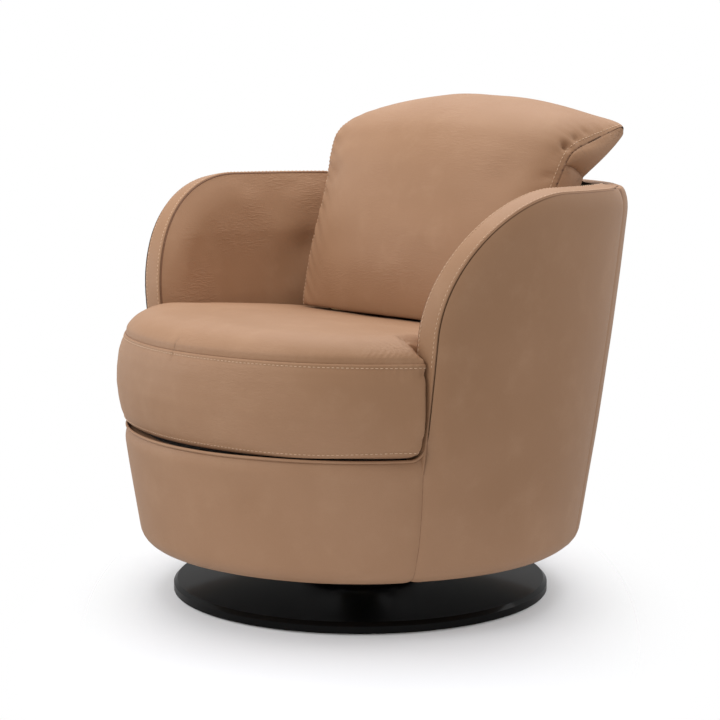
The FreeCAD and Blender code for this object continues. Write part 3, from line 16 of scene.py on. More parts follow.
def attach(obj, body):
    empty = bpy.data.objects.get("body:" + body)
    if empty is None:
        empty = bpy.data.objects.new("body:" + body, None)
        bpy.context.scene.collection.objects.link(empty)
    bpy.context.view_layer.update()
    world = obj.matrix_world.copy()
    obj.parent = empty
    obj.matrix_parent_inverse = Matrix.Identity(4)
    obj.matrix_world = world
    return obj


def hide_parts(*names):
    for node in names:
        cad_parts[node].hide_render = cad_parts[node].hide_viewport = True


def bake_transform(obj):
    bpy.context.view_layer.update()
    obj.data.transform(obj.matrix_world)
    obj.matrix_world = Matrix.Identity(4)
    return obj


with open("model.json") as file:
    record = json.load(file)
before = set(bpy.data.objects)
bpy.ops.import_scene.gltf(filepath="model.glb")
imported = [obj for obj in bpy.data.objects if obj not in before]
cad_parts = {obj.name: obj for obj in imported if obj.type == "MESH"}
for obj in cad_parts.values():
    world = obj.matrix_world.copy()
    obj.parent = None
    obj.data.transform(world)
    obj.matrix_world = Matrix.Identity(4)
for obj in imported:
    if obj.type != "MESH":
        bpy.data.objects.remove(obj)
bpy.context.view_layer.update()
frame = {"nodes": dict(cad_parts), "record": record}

print("nodes in the frame:", len(frame["nodes"]))

# %% [markdown]
# ## The camera
# The photograph was taken from the sitter's front left with a long lens, slightly above the
# seat. The chair's own circles, its disc and its rim, were used to find the place and the
# direction, so the camera comes first and every later piece can be judged through it.

# %% Set the camera
CAMERA_PLACE = (2.4576, -2.0561, 0.8236)
CAMERA_TURN = math.radians(50.083)
CAMERA_DROP = math.radians(7.781)
CAMERA_LENS = 96.45

lens = bpy.data.cameras.new("product_camera")
lens.lens = CAMERA_LENS
lens.sensor_width = 36.0
lens.shift_x = -0.0005
camera = bpy.data.objects.new("product_camera", lens)
camera.location = CAMERA_PLACE
camera.rotation_euler = (math.pi / 2 - CAMERA_DROP, 0.0, CAMERA_TURN)
bpy.context.scene.collection.objects.link(camera)
bpy.context.scene.camera = camera
print("camera at", CAMERA_PLACE)

# %% [markdown]
# ## Sums on sockets
# A finish is a small sum: grain plus creases, darker by the seams. Writing such sums as
# chains of nodes by hand is long, so one class wraps a socket and lets +, -, * and / add the
# Math nodes. Any other node comes from one method that takes its settings and its values.

# %% A socket that can be added and multiplied
class Reading:
    """A value on a node's socket, which sums and products can use like a number."""

    def __init__(self, finish, socket):
        self.finish = finish
        self.socket = socket

    def sum(self, operation, *values):
        return self.finish.add("Math", {"operation": operation}, dict(enumerate(values)))

    def __add__(self, other):
        return self.sum("ADD", self, other)

    def __radd__(self, other):
        return self.sum("ADD", other, self)

    def __sub__(self, other):
        return self.sum("SUBTRACT", self, other)

    def __rsub__(self, other):
        return self.sum("SUBTRACT", other, self)

    def __mul__(self, other):
        return self.sum("MULTIPLY", self, other)

    def __rmul__(self, other):
        return self.sum("MULTIPLY", other, self)

    def __truediv__(self, other):
        return self.sum("DIVIDE", self, other)

    def __rtruediv__(self, other):
        return self.sum("DIVIDE", other, self)

    def size(self):
        return self.sum("ABSOLUTE", self)

    def fade(self, low, high):
        """0 below low, 1 above high, smooth between. It runs the other way if low is higher."""
        reach = {"Value": self, "From Min": low, "From Max": high}
        return self.finish.add("MapRange", {"interpolation_type": "SMOOTHSTEP"}, reach)


class Finish:
    """A material built from readings."""

    def __init__(self, name):
        self.material = bpy.data.materials.new(name)
        self.material.use_nodes = True
        self.tree = self.material.node_tree
        self.shader = self.tree.nodes["Principled BSDF"]

    def add(self, kind, settings, values, output=0):
        """One node of a kind, with its settings first and then its sockets' values or links."""
        node = self.tree.nodes.new("ShaderNode" + kind)
        for setting, value in settings.items():
            if setting == "stops":
                self.set_stops(node.color_ramp, value)
            else:
                setattr(node, setting, value)
        for key, value in values.items():
            self.feed(node.inputs[key], value)
        return Reading(self, node.outputs[output])

    def set_stops(self, ramp, stops):
        while len(ramp.elements) < len(stops):
            ramp.elements.new(1.0)
        for element, (place, colour) in zip(ramp.elements, stops):
            element.position = place
            element.color = colour

    def feed(self, socket, value):
        if isinstance(value, Reading):
            self.tree.links.new(value.socket, socket)
        else:
            socket.default_value = value

    def place(self):
        """The point on the piece, in metres, which moves with the piece."""
        return self.add("TexCoord", {}, {}, "Object")

    def stretch(self, vector, x, y, z):
        return self.add("VectorMath", {"operation": "MULTIPLY"}, {0: vector, 1: (x, y, z)})

    def cloud(self, vector, scale, detail=2.0, roughness=0.5):
        values = {"Vector": vector, "Scale": scale, "Detail": detail, "Roughness": roughness}
        return self.add("TexNoise", {}, values, "Fac")

    def mark(self, name):
        """A number that the mesh carries at each point, such as its distance to a seam."""
        return self.add("Attribute", {"attribute_name": name}, {}, "Fac")

    def mix(self, share, first, second):
        values = {0: share, 6: first, 7: second}
        return self.add("Mix", {"data_type": "RGBA"}, values, 2)

    def bump(self, height, distance, strength=1.0):
        values = {"Height": height, "Distance": distance, "Strength": strength}
        return self.add("Bump", {}, values)

    def surface(self, **values):
        """Set the shader's sockets; an underscore in a name stands for a space."""
        for name, value in values.items():
            self.feed(self.shader.inputs[name.replace("_", " ")], value)
        return self.material


# %% Colours as the eye reads them
def tone(red, green, blue):
    """A colour from display values of 0 to 255, as the light values that shaders use."""
    shares = []
    for value in (red, green, blue):
        share = value / 255
        shares.append(share / 12.92 if share <= 0.04045 else ((share + 0.055) / 1.055) ** 2.4)
    return (*shares, 1.0)


# %% [markdown]
# ## Leather
# The cover is a soft pigmented hide: a fine pebble grain, slow changes of tone from the hide,
# painted shade where it sinks to a seam and along its creases, and small puckers across each
# sewn line. The grain is a cell pattern read in metres, so it has one scale on every panel. The
# mesh carries each point's distance to its seam and its place along it, and the puckers and the
# painted seam shade are drawn in these.

# %% Leather finish
GRAIN_PER_METRE = 560.0
PUCKERS_PER_METRE = 95.0
GRAIN_HEIGHT = 0.00013
PUCKER_HEIGHT = 0.0010
WRINKLE_HEIGHT = 0.00030
# The painted shade in each seam's groove: how far from the seam it reaches, and how dark it is as
# shares of the deep hide tone.
SEAM_SHADOW_WIDTH = 0.0009
SEAM_SHADOW_TINT = (0.34, 0.24, 0.17)


def leather(name, deep, mid, light, pucker, crease):
    finish = Finish(name)
    place = finish.place()
    seam = finish.mark("seam")
    along = finish.mark("along")

    hide = finish.cloud(place, 3.1, 3.0)
    blotch = finish.cloud(place, 17.0, 4.0, 0.6)
    speck = finish.cloud(place, 260.0, 2.0)
    cells = {"Vector": place, "Scale": GRAIN_PER_METRE, "Randomness": 0.95}
    edge = finish.add("TexVoronoi", {"feature": "DISTANCE_TO_EDGE"}, cells, "Distance")
    pebble = edge.fade(0.0, 0.30)
    soft = finish.cloud(place, 330.0, 3.0, 0.6)

    seam_shadow_share = seam.fade(SEAM_SHADOW_WIDTH, 0.0002)
    near_seam = seam.fade(0.026, 0.004)
    lines = finish.add("CombineXYZ", {}, {
        "X": along * PUCKERS_PER_METRE,
        "Y": seam * 16.0,
    })
    gather = finish.cloud(lines, 1.0, 2.0) * near_seam * pucker

    stretched = finish.stretch(place, 46.0, 46.0, 190.0)
    ridge = finish.cloud(stretched, 1.0, 2.0, 0.5)
    line = ((ridge - 0.5) * 5.0).size().fade(1.0, 0.0)
    loose = finish.cloud(place, 6.5, 2.0).fade(0.42, 0.62) * crease

    colour = finish.mix(hide.fade(0.34, 0.68), deep, mid)
    colour = finish.mix(blotch.fade(0.46, 0.80) * 0.35, colour, light)
    colour = finish.mix((1 - pebble) * 0.20 + speck.fade(0.5, 0.8) * 0.08, colour, deep)
    # Painted shade: the hide is mixed towards a dark brown next to each seam, where the groove lies in
    # shade, and a little along the creases.
    sunk = tuple(share * channel for share, channel in zip(SEAM_SHADOW_TINT, deep)) + (1.0,)
    colour = finish.mix(seam_shadow_share * 0.50 + line * loose * 0.05, colour, sunk)

    grain = pebble * 0.55 + soft * 0.8
    height = grain * GRAIN_HEIGHT + gather * PUCKER_HEIGHT - line * loose * WRINKLE_HEIGHT
    gloss = 0.47 + (1 - pebble) * 0.10 + blotch * 0.08
    return finish.surface(
        Base_Color=colour,
        Roughness=gloss,
        Normal=finish.bump(height, 1.0),
        Specular_IOR_Level=0.32,
        Sheen_Weight=0.04,
        Sheen_Roughness=0.4,
    )


# %% The four leathers
HIDE = (tone(158, 119, 88), tone(169, 130, 100), tone(180, 143, 113))
# The cords' hide is darker as painted shade: the inner cords lie in the dark groove between the band
# and the padded arm.
SHADED_CORD_HIDE = (tone(112, 76, 52), tone(126, 87, 61), tone(140, 100, 72))
cushion_leather = leather("cushion_leather", *HIDE, pucker=0.8, crease=0.55)
wall_leather = leather("wall_leather", *HIDE, pucker=0.2, crease=0.10)
arm_leather = leather("arm_leather", *HIDE, pucker=0.3, crease=1.0)
shaded_piping_leather = leather("shaded_piping_leather", *SHADED_CORD_HIDE, pucker=0.0, crease=0.0)
print("leathers:", cushion_leather.name, wall_leather.name, shaded_piping_leather.name)

# %% [markdown]
# ## Thread, metal, wood and cloth
# The smaller finishes are read at their own scale: twist on the thread, a fine texture in the
# satin black paint of the disc, brushed lines on plated steel, long grain and veneer tone on
# plywood, and a woven check on the webbing and on the black cloths.

# %% Thread
def thread_finish():
    finish = Finish("thread")
    place = finish.place()
    twist = finish.add("TexWave", {"wave_type": "BANDS", "bands_direction": "DIAGONAL"}, {
        "Vector": place, "Scale": 900.0, "Distortion": 0.0,
    }, "Fac")
    wear = finish.cloud(place, 120.0)
    colour = finish.mix(twist * 0.5 + wear * 0.3, tone(226, 192, 158), tone(204, 166, 132))
    return finish.surface(
        Base_Color=colour,
        Roughness=0.55 + twist * 0.15,
        Normal=finish.bump(twist, 0.0002, 0.6),
        Sheen_Weight=0.3,
    )


# %% Painted and plated steel
def painted_steel(name, paint, roughness):
    finish = Finish(name)
    place = finish.place()
    peel = finish.cloud(place, 700.0, 2.0)
    dust = finish.cloud(place, 24.0, 4.0, 0.65)
    pale = tuple(channel * 1.5 + 0.001 for channel in paint[:3]) + (1.0,)
    return finish.surface(
        Base_Color=finish.mix(dust.fade(0.5, 0.8) * 0.3, paint, pale),
        Roughness=roughness + 0.2,
        Normal=finish.bump(peel, 0.0001, 0.10),
        Specular_IOR_Level=0.03,
        Coat_Weight=0.15 + dust * 0.05,
        Coat_Roughness=roughness * 0.5,
    )


def bare_steel(name, metal, roughness):
    finish = Finish(name)
    place = finish.place()
    lines = finish.cloud(finish.stretch(place, 60.0, 60.0, 1600.0), 1.0, 3.0)
    stain = finish.cloud(place, 35.0, 3.0)
    darker = tuple(0.72 * channel for channel in metal[:3]) + (1.0,)
    return finish.surface(
        Base_Color=finish.mix(stain.fade(0.45, 0.8), metal, darker),
        Metallic=1.0,
        Roughness=roughness + lines * 0.14,
        Normal=finish.bump(lines, 0.0001, 0.5),
    )


# %% Plywood, cloths and moulded plastic
def plywood_finish():
    finish = Finish("plywood")
    place = finish.place()
    warped = finish.stretch(place, 9.0, 9.0, 42.0)
    grain = finish.cloud(warped, 2.2, 5.0, 0.6)
    fibre = finish.cloud(finish.stretch(place, 60.0, 60.0, 900.0), 1.0, 3.0)
    stops = [(0.30, tone(150, 112, 72)), (0.52, tone(190, 152, 106)), (0.72, tone(214, 182, 138))]
    colour = finish.add("ValToRGB", {"stops": stops}, {"Fac": grain})
    return finish.surface(
        Base_Color=finish.mix(fibre * 0.25, colour, tone(128, 92, 58)),
        Roughness=0.62 + fibre * 0.2,
        Normal=finish.bump(fibre + grain, 0.0004, 0.5),
    )


def woven_cloth(name, warp, weft, threads, roughness):
    finish = Finish(name)
    place = finish.place()
    check = {"Vector": place, "Scale": threads}
    over = finish.add("TexWave", {"bands_direction": "X"}, check, "Fac")
    under = finish.add("TexWave", {"bands_direction": "Y"}, check, "Fac")
    fuzz = finish.cloud(place, threads * 2.2, 3.0)
    weave = over * under
    return finish.surface(
        Base_Color=finish.mix(weave.fade(0.1, 0.8), weft, warp),
        Roughness=roughness + fuzz * 0.1,
        Normal=finish.bump(weave * 0.7 + fuzz * 0.5, 0.0005, 0.7),
        Sheen_Weight=0.25,
        Specular_IOR_Level=0.25,
    )


def plastic_finish(name, body, roughness):
    finish = Finish(name)
    place = finish.place()
    skin = finish.cloud(place, 420.0, 2.0)
    shade = finish.cloud(place, 30.0, 2.0)
    darker = tuple(0.8 * channel for channel in body[:3]) + (1.0,)
    return finish.surface(
        Base_Color=finish.mix(shade, body, darker),
        Roughness=roughness + skin * 0.1,
        Normal=finish.bump(skin, 0.0002, 0.4),
    )


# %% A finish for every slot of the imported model
thread = thread_finish()
FINISHES = {
    "felt": woven_cloth("grey_felt", tone(88, 86, 84), tone(62, 60, 58), 700.0, 0.9),
    "black_steel": painted_steel("black_steel", tone(7, 7, 7), 0.17),
    "bearing_steel": bare_steel("bearing_steel", tone(196, 197, 200), 0.16),
    "zinc_steel": bare_steel("zinc_steel", tone(186, 188, 190), 0.34),
    "nylon": plastic_finish("nylon", tone(224, 220, 208), 0.42),
    "brass_cage": bare_steel("brass_cage", tone(206, 172, 98), 0.28),
    "plywood": plywood_finish(),
    "webbing": woven_cloth("seat_webbing", tone(92, 82, 70), tone(46, 42, 38), 420.0, 0.85),
    "black_cloth": woven_cloth("black_cloth", tone(40, 38, 37), tone(22, 21, 21), 600.0, 0.88),
    "tan_leather": wall_leather,
    "foam": woven_cloth("foam_wrap", tone(226, 222, 210), tone(206, 200, 186), 300.0, 0.95),
}
for node_name, node_object in frame["nodes"].items():
    for material_slot in node_object.material_slots:
        slot_name = next(part["material_slot"] for part in frame["record"]["subparts"]
                         if part["node"] == node_name)
        material_slot.material = FINISHES[slot_name]
print("finishes:", ", ".join(FINISHES))

# %% [markdown]
# ## Grids of points
# Each panel is cut from flat hide and stretched over a form, so its mesh is a grid: columns
# run along a seam and rows run away from it. Four edge curves fix where a panel is sewn, and
# the grid between them is a smooth blend of the four. Rows lie closer together by a seam,
# where the hide dips, and the distance to the seam is kept on the mesh for the finish.

# %% Curves
def ease(share, power=2.0):
    """From 0 to 1, steep at the start and level at the end."""
    return 1 - (1 - np.clip(share, 0, 1)) ** power


def smooth_step(share):
    """From 0 to 1, level at both ends."""
    share = np.clip(share, 0, 1)
    return share * share * (3 - 2 * share)


def bell(distance, width):
    """1 at no distance, and falling softly to 0 within about twice the width."""
    return np.exp(-(distance / width) ** 2)


def lengths_of(points):
    """How far along a line each of its points is."""
    steps = np.linalg.norm(np.diff(points, axis=0), axis=1)
    return np.concatenate([[0.0], np.cumsum(steps)])


def read_off(places, run, rows):
    """The row of numbers at each place along a run, read between the rows that are given."""
    return np.stack([np.interp(places, run, column) for column in np.asarray(rows).T], axis=-1)


def resampled(points, shares):
    """Points at shares of a line's length."""
    points = np.asarray(points, float)
    run = lengths_of(points)
    return read_off(np.asarray(shares) * run[-1], run, points)


# %% Points round the axis, and how lines are divided
def turned(radius, angle, height):
    """Points at a distance from the chair's axis, an angle from the front, and a height."""
    return np.stack([radius * np.sin(angle), -radius * np.cos(angle), height + 0 * angle], axis=-1)


def rounded_line(points, count, passes=40):
    """A smooth line through a rough one, with its ends kept."""
    line = resampled(points, np.linspace(0, 1, count))
    for _ in range(passes):
        line[1:-1] = (line[:-2] + 2 * line[1:-1] + line[2:]) / 4
    return line


def knots(length, fine, coarse, reach=0.03):
    """Shares from 0 to 1 whose spacing grows from fine at both ends to coarse between."""
    fine_steps = [0.0]
    while fine_steps[-1] < min(reach, length * 0.45):
        share = fine_steps[-1] / reach
        fine_steps.append(fine_steps[-1] + fine + (coarse - fine) * share)
    left = np.array(fine_steps[:-1])
    middle_length = length - 2 * left[-1]
    middle = np.linspace(left[-1], length - left[-1], max(3, int(middle_length / coarse) + 2))
    places = np.concatenate([left[:-1], middle, (length - left[:-1])[::-1]])
    return places / length


# %% Distances to a seam, and slow unevenness
def reach_to(points, line):
    """Each point's distance to a line of closely spaced points, and how far along it is."""
    tree = kdtree.KDTree(len(line))
    for index, place in enumerate(line):
        tree.insert(place, index)
    tree.balance()
    run = lengths_of(line)
    flat = points.reshape(-1, 3)
    distance = np.empty(len(flat))
    along = np.empty(len(flat))
    for index, place in enumerate(flat):
        _, nearest, gap = tree.find(place)
        distance[index] = gap
        along[index] = run[nearest]
    return distance.reshape(points.shape[:-1]), along.reshape(points.shape[:-1])


def drift(points, per_metre, seed):
    """Slow, seeded unevenness between about -1 and 1."""
    flat = points.reshape(-1, 3) * per_metre + seed
    values = [noise.noise(Vector(place)) for place in flat]
    return np.array(values).reshape(points.shape[:-1])


def swells(points, *waves):
    """Several drifts together, each with its scale, its seed and its height."""
    return sum(drift(points, per_metre, seed) * height for per_metre, seed, height in waves)


# %% The way a grid faces
def normals_of(grid, closed=False):
    """The way each point of a grid faces."""
    if closed:
        ring = np.concatenate([grid[:, -1:], grid, grid[:, :1]], axis=1)
        along = ring[:, 2:] - ring[:, :-2]
    else:
        along = np.gradient(grid, axis=1)
    up = np.gradient(grid, axis=0)
    normal = np.cross(along, up)
    size = np.linalg.norm(normal, axis=2, keepdims=True)
    return normal / np.maximum(size, 1e-12)


# %% [markdown]
# ## Meshes from grids
# A grid becomes a mesh when every small square between its points becomes a face. The distance
# to the nearest seam is kept on the mesh as an attribute, one number for each point, and the
# leather reads it. A piece that has several grids, such as a cushion, gathers them first.

# %% Meshes from grids
def grid_faces(rows, columns, first=0, closed=False, flip=False):
    """Quads between a grid's points; a closed grid joins its last column to its first."""
    index = np.arange(rows * columns).reshape(rows, columns) + first
    if closed:
        index = np.concatenate([index, index[:, :1]], axis=1)
    quads = np.stack([index[:-1, :-1], index[:-1, 1:], index[1:, 1:], index[1:, :-1]], axis=-1)
    quads = quads.reshape(-1, 4)
    return quads[:, ::-1] if flip else quads


def piece(name, points, faces, material, marks=None):
    """An object from points and faces, with numbers for the finish to read at each point."""
    mesh = bpy.data.meshes.new(name)
    mesh.from_pydata(np.asarray(points).tolist(), [], [list(map(int, face)) for face in faces])
    mesh.polygons.foreach_set("use_smooth", [True] * len(mesh.polygons))
    for mark, values in (marks or {}).items():
        attribute = mesh.attributes.new(mark, "FLOAT", "POINT")
        attribute.data.foreach_set("value", np.asarray(values, np.float32).ravel())
    mesh.materials.append(material)
    mesh.update()
    item = bpy.data.objects.new(name, mesh)
    bpy.context.scene.collection.objects.link(item)
    return item


class Cut:
    """Gathers the grids that make up one piece."""

    def __init__(self):
        self.points = []
        self.faces = []
        self.seam = []
        self.along = []
        self.count = 0

    def add(self, grid, seam=None, along=None, closed=False, flip=False):
        rows, columns = grid.shape[:2]
        self.faces.append(grid_faces(rows, columns, self.count, closed, flip))
        self.points.append(grid.reshape(-1, 3))
        self.seam.append(np.full(rows * columns, 0.1) if seam is None else seam.ravel())
        self.along.append(np.zeros(rows * columns) if along is None else along.ravel())
        self.count += rows * columns
        return self

    def sewn(self, name, material):
        marks = {"seam": np.concatenate(self.seam), "along": np.concatenate(self.along)}
        faces = np.concatenate(self.faces)
        item = piece(name, np.concatenate(self.points), faces, material, marks)
        print(name, "has", len(item.data.vertices), "points")
        return item


def placed(item, body, slot, *nodes):
    """Let a piece ride on its body and stand for its nodes."""
    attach(item, body)
    if nodes:
        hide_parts(*nodes)
    return item


# %% [markdown]
# ## The wall of the tub
# Seen from above the tub is round, and seen from the side its wall is one slow outward curve
# that rolls under at the bottom. Turning that outline gives the form under every outer panel,
# so a panel needs only an angle, a level and how far its hide stands off the form.

# %% The wall's outline
WALL_POINTS = ((0.3679, 0.100), (0.4110, 0.400), (0.4429, 0.681))
UNDERSIDE = 0.088
BOTTOM_ROLL = 0.034
TURN_UNDER = 0.021
RIM = 0.681
BACK_SEAM = math.radians(123.0)


def circle_through(first, second, third):
    """The middle and the radius of the circle through three points."""
    (ax, ay), (bx, by), (cx, cy) = first, second, third
    a2, b2, c2 = ax * ax + ay * ay, bx * bx + by * by, cx * cx + cy * cy
    area = 2 * (ax * (by - cy) + bx * (cy - ay) + cx * (ay - by))
    x = (a2 * (by - cy) + b2 * (cy - ay) + c2 * (ay - by)) / area
    y = (a2 * (cx - bx) + b2 * (ax - cx) + c2 * (bx - ax)) / area
    return x, y, math.hypot(ax - x, ay - y)


WALL_X, WALL_Z, WALL_BEND = circle_through(*WALL_POINTS)


def wall_radius(height):
    """How far the wall's form stands from the chair's axis at a height."""
    return WALL_X + np.sqrt(WALL_BEND ** 2 - (height - WALL_Z) ** 2)


# %% A turned outline
class Outline:
    """A turned outline: radius, height and facing at each level."""

    def __init__(self, levels, radii, heights):
        self.levels = np.asarray(levels)
        self.radii = np.asarray(radii)
        self.heights = np.asarray(heights)
        run_r = np.gradient(self.radii)
        run_z = np.gradient(self.heights)
        size = np.hypot(run_r, run_z)
        self.facing_r = run_z / size
        self.facing_z = -run_r / size

    def at(self, angle, level, out=0.0):
        """Points at angles from the front, levels, and distances off the form."""
        radius = np.interp(level, self.levels, self.radii)
        height = np.interp(level, self.levels, self.heights)
        radius = radius + np.interp(level, self.levels, self.facing_r) * out
        height = height + np.interp(level, self.levels, self.facing_z) * out
        return turned(radius, angle, height)


# %% The roll under the wall, and the whole outline
def bottom_points():
    """The roll under the wall, from its inner end up to where it meets the wall."""
    start = UNDERSIDE + BOTTOM_ROLL
    for _ in range(4):
        start = UNDERSIDE + BOTTOM_ROLL + BOTTOM_ROLL * (start - WALL_Z) / WALL_BEND
    lean = math.asin((start - WALL_Z) / WALL_BEND)
    middle_r = float(wall_radius(start)) - BOTTOM_ROLL * math.cos(lean)
    middle_z = start - BOTTOM_ROLL * math.sin(lean)
    turn = np.linspace(-math.pi / 2, lean, 60)
    levels = start - BOTTOM_ROLL * (lean - turn)
    radii = middle_r + BOTTOM_ROLL * np.cos(turn)
    heights = middle_z + BOTTOM_ROLL * np.sin(turn)
    inner = np.linspace(TURN_UNDER, 0, 20, endpoint=False)
    levels = np.concatenate([levels[0] - inner, levels])
    radii = np.concatenate([radii[0] - inner, radii])
    heights = np.concatenate([np.full(len(inner), UNDERSIDE), heights])
    return levels, radii, heights, start


roll_levels, roll_radii, roll_heights, ROLL_TOP = bottom_points()
wall_levels = np.linspace(ROLL_TOP, RIM + 0.002, 500)[1:]
wall = Outline(
    np.concatenate([roll_levels, wall_levels]),
    np.concatenate([roll_radii, wall_radius(wall_levels)]),
    np.concatenate([roll_heights, wall_levels]),
)
LOWEST = float(roll_levels[0])
print("wall radius at the rim:", round(float(wall_radius(RIM)), 4))

# %% [markdown]
# ## The line of the arms
# From the side each arm is a quarter circle: straight up from the seat, round, and level to
# the back. A flat border band runs along it, and thin piping marks both of its edges. The
# outer piping turns into the lip over the front apron with a small round at the corner.

# %% Lines along the arms
ARM_FRONT = 0.173
ARCH_RADIUS = 0.210
ARCH_Y = ARCH_RADIUS - ARM_FRONT
ARCH_Z = RIM - ARCH_RADIUS
APRON_TOP = 0.285
BAND_WIDTH = 0.0406
CORNER_ROUND = 0.023
CORNER_REACH = 0.3985
SEAM_HELD = 0.118
SEAM_BOW_LEVELS = (0.09, 0.12, 0.15, 0.20, 0.262, 0.295)
SEAM_BOW_BACK = (0.0045, 0.0065, 0.0078, 0.0058, 0.0010, -0.0040)


def arm_line(inset=0.0, low=APRON_TOP):
    """Angles and levels up the arm's front, over its arch and back along the rim.

    The inset moves the line into the panel."""
    upright = np.linspace(low, ARCH_Z, 90)
    turn = np.linspace(0, math.pi / 2, 160)[1:]
    reach = ARCH_RADIUS - inset
    levels = np.concatenate([upright, ARCH_Z + reach * np.sin(turn)])
    backs = np.concatenate([np.full(90, ARCH_Y - reach), ARCH_Y - reach * np.cos(turn)])
    angles = np.arccos(np.clip(-backs / wall_radius(levels), -1, 1))
    rim_level = ARCH_Z + reach
    rim_angles = np.linspace(angles[-1], BACK_SEAM, 120)[1:]
    angles = np.concatenate([angles, rim_angles])
    levels = np.concatenate([levels, np.full(len(rim_angles), rim_level)])
    return angles, levels


def front_angle(level):
    """The angle of the arm's front edge at a level."""
    radius = np.interp(level, wall.levels, wall.radii)
    return np.arccos(ARM_FRONT / radius)


def seam_angle(level):
    """The plain seam below the arm's front: it bows a few millimetres back on its way down."""
    radius = np.interp(np.maximum(level, SEAM_HELD), wall.levels, wall.radii)
    back = np.interp(level, SEAM_BOW_LEVELS, SEAM_BOW_BACK)
    return np.arccos(ARM_FRONT / radius) + back / radius


def corner_line(inset=0.0):
    """The round at the bottom of the arm's front, from the apron's lip up to the arm."""
    turn = np.linspace(-math.pi / 2, 0, 40)
    level = APRON_TOP + CORNER_ROUND + (CORNER_ROUND + inset) * np.sin(turn)
    ahead = CORNER_ROUND - (CORNER_ROUND + inset) * np.cos(turn)
    return front_angle(APRON_TOP + CORNER_ROUND) - ahead / CORNER_REACH, level


# %% [markdown]
# ## Cords
# Piping is a thin cord in a sleeve of hide that is sewn between two panels. A ring of points
# is drawn round every point of its path. Each ring is turned as little as possible from the
# one before it, so that the cord doesn't twist on its way.

# %% Thin cords
def cord_piece(name, path, radius, material, facets=8, seam=0.02):
    """A round cord along a line of points, with one radius or a radius at each point."""
    path = np.asarray(path)
    radius = np.broadcast_to(radius, len(path))
    seam = np.broadcast_to(seam, len(path))
    tangent = np.gradient(path, axis=0)
    tangent /= np.linalg.norm(tangent, axis=1, keepdims=True)
    side = np.cross(tangent[0], (0.0, 0.0, 1.0))
    if np.linalg.norm(side) < 1e-6:
        side = np.array((1.0, 0.0, 0.0))
    turn = np.linspace(0, 2 * math.pi, facets, endpoint=False)
    rings = []
    for place, way, reach in zip(path, tangent, radius):
        side = side - way * np.dot(side, way)
        side = side / np.linalg.norm(side)
        other = np.cross(way, side)
        rings.append(place + reach * (np.cos(turn)[:, None] * side + np.sin(turn)[:, None] * other))
    seams = np.repeat(seam[:, None], facets, axis=1)
    along = np.repeat(lengths_of(path)[:, None], facets, axis=1)
    return Cut().add(np.array(rings), seams, along, closed=True).sewn(name, material)


# %% [markdown]
# ## Stitches
# Every sewn edge has a row of topstitches, and at this size they are seen one by one: short
# lengths of thicker, lighter thread that come up through the hide and go down again. So each
# row is real thread, a small bowed capsule for every stitch, spaced along the row.

# %% Rows of stitches
STITCH_PITCH = 0.0072
STITCH_LENGTH = 0.0050
THREAD_RADIUS = 0.00060
STITCH_RISE = 0.00070
STITCH_SINK = 0.0002
STITCH_SIDES = 6


def stitches(name, path, facing):
    """A row of thread along a line, each stitch bowed up from the hide."""
    path = np.asarray(path)
    facing = np.asarray(facing)
    run = lengths_of(path)
    count = max(2, int(run[-1] / STITCH_PITCH))
    middles = (np.arange(count) + 0.5) * run[-1] / count
    bow = np.linspace(-1, 1, 7)
    turn = np.linspace(0, 2 * math.pi, STITCH_SIDES, endpoint=False)
    shares = middles[:, None] + bow[None] * STITCH_LENGTH / 2
    centre = read_off(shares, run, path)
    up = read_off(shares, run, facing)
    up /= np.linalg.norm(up, axis=-1, keepdims=True)
    way = np.gradient(centre, axis=1)
    way /= np.linalg.norm(way, axis=-1, keepdims=True)
    side = np.cross(way, up)
    rise = (1 - bow ** 2) * STITCH_RISE - STITCH_SINK
    centre = centre + up * rise[None, :, None]
    radius = THREAD_RADIUS * np.sqrt(np.clip(1.02 - bow ** 4, 0.02, 1))
    ring = (np.cos(turn)[None, None, :, None] * side[:, :, None]
            + np.sin(turn)[None, None, :, None] * up[:, :, None])
    points = centre[:, :, None] + ring * radius[None, :, None, None]
    faces = []
    for index in range(count):
        first = index * len(bow) * STITCH_SIDES
        faces.append(grid_faces(len(bow), STITCH_SIDES, first, closed=True, flip=True))
    print(name, "has", count, "stitches")
    return piece(name, points.reshape(-1, 3), np.concatenate(faces), thread)


# %% [markdown]
# ## Outer panels
# Three panels cover the outside: one on each side and one across the back. Each side panel is
# sewn along the arm's piping, along a plain seam at the back and along a plain seam to the
# front apron, and it turns under at the bottom. It stands a little proud in its middle.

# %% Side panels
PANEL_FULLNESS = 0.0045
WELT_RECESS = 0.0030
WELT_BULGE = 0.0030
WELT_REACH = 0.034
PLAIN_RECESS = 0.0022
PLAIN_REACH = 0.013


def on_wall(angles, levels, out=0.0):
    """Points of the wall's form, or at distances off it."""
    return wall.at(np.asarray(angles), np.asarray(levels), out)


def panel_between(bottom, top, left, right, coarse=0.0065, fine=0.0016):
    """A grid of angles and levels inside four edge lines, with rows closer by the seams."""
    flat = [on_wall(line[:, 0], line[:, 1]) for line in (bottom, top, left, right)]
    across = max(lengths_of(flat[0])[-1], lengths_of(flat[1])[-1])
    upward = max(lengths_of(flat[2])[-1], lengths_of(flat[3])[-1])
    u = knots(across, fine, coarse)
    v = knots(upward, fine, coarse)

    def spread(line, points, shares):
        run = lengths_of(points)
        return read_off(shares, run / run[-1], line)

    edges = [spread(line, points, shares)
             for line, points, shares in zip((bottom, top, left, right), flat, (u, u, v, v))]
    return coons(*edges, u, v)


